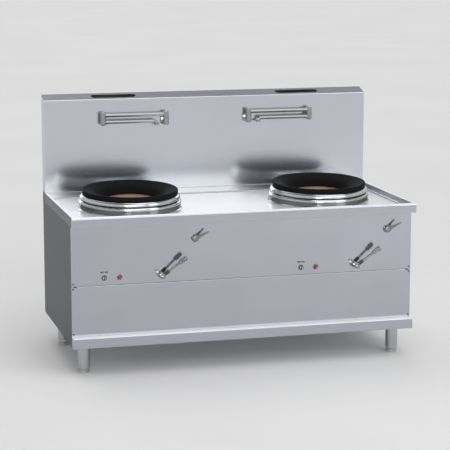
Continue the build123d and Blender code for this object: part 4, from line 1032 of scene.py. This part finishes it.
def half_round(height, depth, steps=8):
    """The outline of a rolled hem."""
    turns = [math.pi * (i / steps - 0.5) for i in range(steps + 1)]
    return [(depth * math.cos(t), height / 2 * math.sin(t)) for t in turns]


def hollow_corner(radius, steps=8):
    """The outline of a ground corner, hollow towards the room."""
    turns = [math.pi * (1.5 - 0.5 * i / steps) for i in range(steps + 1)]
    return [(0, 0)] + [(radius + radius * math.cos(t), radius + radius * math.sin(t)) for t in turns]


def long_hem(outline, left, right, y, z, finish):
    """A hem along the front between two ends."""
    return (*strip(outline, (left, y, z), (right, y, z), TO_COOK), steel[finish])


left_end, right_end = (corner.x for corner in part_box("splashback_front"))
seam_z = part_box("access_panel")[1].z
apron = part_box("worktop_front_edge")[0]
seam_ends = left_end + SLOT_CLEARANCE, right_end - SLOT_CLEARANCE
make_piece("sheet_hems", "range", [
    long_hem(half_round(4.4 * MM, 1.3 * MM), left_end, right_end, splash_y, rim_z, "collar"),
    # the seam roll is in the lighter splashback steel: a rolled edge with a partly painted highlight
    long_hem(half_round(3 * MM, 0.9 * MM), *seam_ends, panel_y, seam_z - 2 * MM, "splash"),
    # dark steel along the apron foot: a painted shadow line under the fold
    long_hem(half_round(2.4 * MM, 0.5 * MM), left_end, right_end, apron.y, apron.z + 1.3 * MM, "side"),
], 60)
side_x = max(v.co.x for v in nodes["worktop_side_edges"].data.vertices if v.co.x < 0)
front_y = max(v.co.y for v in nodes["worktop_front_edge"].data.vertices)
left_back, right_back = Vector((side_x, splash_y, deck_z)), Vector((-side_x, splash_y, deck_z))
left_front, right_front = Vector((side_x, front_y, deck_z)), Vector((-side_x, front_y, deck_z))
hollow = hollow_corner(7 * MM)
corners = [
    strip(hollow, right_back, left_back, TO_COOK),
    strip(hollow, left_back, left_front, (1, 0, 0)),
    strip(hollow, right_front, right_back, (-1, 0, 0)),
    strip(hollow, left_front, right_front, (0, 1, 0)),
]
# the dark steel in the tray corners is painted shade
make_piece("tray_corners", "range", [(mesh, place, steel["side"]) for mesh, place in corners], 60)
print("tray inside", round(2 * right_back.x, 3), "by", round(splash_y - front_y, 3))

# %% [markdown]
# ## Finger slots
# A short finger slot sits at each end of the seam, between two screws. Its dark inside is painted
# shade: a slim black bar with round ends, so its outline is two half circles.

# %% Make the painted shade of the finger slots
def stadium(length, width, steps=10):
    """Two half circles joined by straight sides."""
    half = (length - width) / 2
    outline = []
    for centre, first in ((half, -0.5), (-half, 0.5)):
        turns = [math.pi * (first + i / steps) for i in range(steps + 1)]
        outline += [(centre + width / 2 * math.cos(t), width / 2 * math.sin(t)) for t in turns]
    return outline


slot_shades = []
slot_places = left_end + 20 * MM, right_end - 20 * MM
for x in slot_places:
    # a black bar a little proud of the panel: painted shade for the slot's dark inside
    slot_shade = bevelled(prism(stadium(17 * MM, 5.5 * MM), -0.8 * MM, 1.6 * MM), 0.5 * MM)
    slot_shades.append((slot_shade, aim((x, panel_y, seam_z - 1 * MM), TO_COOK, (1, 0, 0)), knob_plastic))
make_piece("finger_slot_shades", "range", slot_shades)
print("catches at", [round(x, 3) for x in slot_places])

# %% [markdown]
# ## Beads and rings
# Where a collar meets the tray there is a ground weld, a soft concave line that keeps water out.
# Each leg ends in a bright ring above its foot. Both are plain rings, so the lathe makes them,
# and a slow ripple keeps the weld from looking machined.

# %% Make the weld beads and leg rings
def weld_ring(radius, size, steps=220):
    """A low hollow bead round a collar, with a slight ripple."""
    mesh = lathe([
        (radius - size * 0.3, -0.2 * size), (radius + size, 0.0), (radius + size * 0.55, size * 0.28),
        (radius + size * 0.2, size * 0.8), (radius - size * 0.3, size),
    ], steps, closed=True)
    for vertex in mesh.verts:
        angle = math.atan2(vertex.co.y, vertex.co.x)
        if vertex.co.z > 0.05 * size:
            vertex.co.z += size * 0.06 * math.sin(70 * angle)
    return mesh


for side in SIDES:
    bead = weld_ring(WALL_RADIUS * MM, 4 * MM)
    make_piece(f"collar_weld_{side}", "range", [(bead, on_tray(side), steel["collar"])], 60)
leg_rings = []
for name in ("foot_front_left", "foot_front_right", "foot_rear_left", "foot_rear_right"):
    low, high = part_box(name)
    x, y = (low.x + high.x) / 2, (low.y + high.y) / 2
    for radius, z in ((31.4, 28.4), (27.6, 2.0), (27.6, 8.0)):
        outline = [(radius - 1, z), (radius + 1.2, z), (radius + 1.2, z + 3), (radius - 1, z + 3)]
        leg_rings.append((turned(outline, 0.7, 64, closed=True), Matrix.Translation((x, y, 0)), satin))
make_piece("leg_end_rings", "range", leg_rings)
print("beads and rings made")


# %% [markdown]
# ## Markings
# The only words on the range are the plain ones that a switch needs. Text is made as a curve,
# turned into a thin mesh and laid on the panel, where it stands out by a tenth of a millimetre
# like ink from a screen print.

# %% Print the markings
MARK_SIZE = 10 * MM
INK = 0.05 * MM


def printed(name, words, x, z):
    """Words lying on the front panel, centred on a point."""
    curve = bpy.data.curves.new(name, "FONT")
    curve.body = words
    curve.size = MARK_SIZE
    curve.align_x = "CENTER"
    curve.align_y = "CENTER"
    curve.extrude = INK
    curve.offset = 0.7 * MM
    curve.resolution_u = 3
    words_object = add_object(name, curve)
    upright = Matrix.Rotation(math.radians(90), 4, "X")
    words_object.matrix_world = Matrix.Translation((x, panel_y - INK, z)) @ upright
    bpy.context.view_layer.update()
    data = worked_out(words_object)
    data.transform(words_object.matrix_world)
    bpy.data.objects.remove(words_object)
    data.materials.clear()
    data.materials.append(mark_ink)
    piece = add_object(name, data)
    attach(piece, "range")
    return piece


for side in SIDES:
    low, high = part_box(f"switch_knob_{side}")
    x, z = (low.x + high.x) / 2, (low.z + high.z) / 2
    printed(f"switch_marks_{side}", "OFF  ON", x, z + 28 * MM)
    hub = joints[f"gas_lever_{side}_turn"]["pos_m"]
    printed(f"lever_marks_{side}", "0 1 2", hub[0] - 24 * MM, hub[2] + 26 * MM)
print("markings printed")

# %% [markdown]
# ## Floor, light and camera
# Polished steel shows its room more than itself, so the light is built like a photographer's
# tent: a pale floor, a world that is brightest a little above the horizon and dark overhead, four
# wide suns and one large soft lamp. The dark ceiling is what draws an edge on every tube; small
# lamps would leave hard white spots instead. The low fill sun reaches the lining under the rings.

# %% Lay the floor
floor_material = new_material("studio floor", (0.74, 0.74, 0.74), 0.0, 0.9)[0]
floor_smears = use_group(floor_material, smear_group, Size=1.5, Sharpness=0.5)
tint(floor_material, floor_smears.outputs["Mask"], (0.73, 0.73, 0.73), (0.75, 0.75, 0.75))
floor_mesh = bpy.data.meshes.new("studio_floor")
FLOOR_HALF = 80
floor_corners = [(x * FLOOR_HALF, y * FLOOR_HALF, 0) for x, y in ((-1, -1), (1, -1), (1, 1), (-1, 1))]
floor_mesh.from_pydata(floor_corners, [], [(0, 1, 2, 3)])
floor_mesh.materials.append(floor_material)
floor = add_object("studio_floor", floor_mesh)
print("floor laid")


# %% Light the room
def soft_lamp(name, place, target, width, depth, power):
    """A large rectangular lamp that points at a target."""
    data = bpy.data.lights.new(name, "AREA")
    data.shape = "RECTANGLE"
    data.size = width
    data.size_y = depth
    data.energy = power
    lamp = add_object(name, data)
    lamp.location = place
    lamp.rotation_euler = (Vector(target) - Vector(place)).to_track_quat("-Z", "Y").to_euler()
    lamp.visible_camera = False


def wide_sun(name, toward, angle, strength):
    """A distant lamp as wide as a softbox: it lights the whole floor evenly."""
    data = bpy.data.lights.new(name, "SUN")
    data.angle = math.radians(angle)
    data.energy = strength
    add_object(name, data).rotation_euler = (-Vector(toward)).to_track_quat("-Z", "Y").to_euler()


wide_sun("front light", (0.12, -0.90, 0.42), 34, 0.35)
wide_sun("overhead light", (0.20, -0.30, 0.93), 50, 1.0)
wide_sun("back light", (-0.10, 0.50, 0.86), 40, 0.7)
wide_sun("fill light", (-0.25, -0.95, 0.185), 13, 0.9)
soft_lamp("key lamp", (3.8, -4.6, 3.0), (1.2, -1.6, 0.2), 2.2, 2.2, 50)

world = bpy.data.worlds.new("studio world")
bpy.context.scene.world = world
world.use_nodes = True
sky = world.node_tree
direction = sky.nodes.new("ShaderNodeTexCoord")
axes = sky.nodes.new("ShaderNodeSeparateXYZ")
sky.links.new(direction.outputs["Generated"], axes.inputs["Vector"])
ramp = sky.nodes.new("ShaderNodeValToRGB")
stops = ramp.color_ramp.elements
stops[0].position, stops[0].color = 0.05, (0.66, 0.66, 0.66, 1)
stops[1].position, stops[1].color = 0.95, (0.15, 0.15, 0.155, 1)
for height, level in ((0.14, 0.80), (0.42, 0.80), (0.65, 0.25)):
    stops.new(height).color = (level, level, level, 1)
sky.links.new(axes.outputs["Z"], ramp.inputs["Fac"])
sky.links.new(ramp.outputs["Color"], sky.nodes["Background"].inputs["Color"])
sky.nodes["Background"].inputs["Strength"].default_value = 1.0

# %% Place the camera
CAMERA_LENS = 138.43
CAMERA_PLACE = (-2.34498, -8.7054, 2.26349)
CAMERA_DOWN, CAMERA_RIGHT = 10.0597, 15.0618
camera_data = bpy.data.cameras.new("camera")
camera_data.sensor_width = 36.0
camera_data.lens = CAMERA_LENS
camera_data.clip_end = 300.0
camera = add_object("camera", camera_data)
camera.location = CAMERA_PLACE
camera.rotation_euler = (math.radians(90 - CAMERA_DOWN), 0.0, math.radians(-CAMERA_RIGHT))
bpy.context.scene.camera = camera
bpy.context.scene.view_settings.view_transform = "Standard"
print("camera at", [round(v, 3) for v in camera.location])
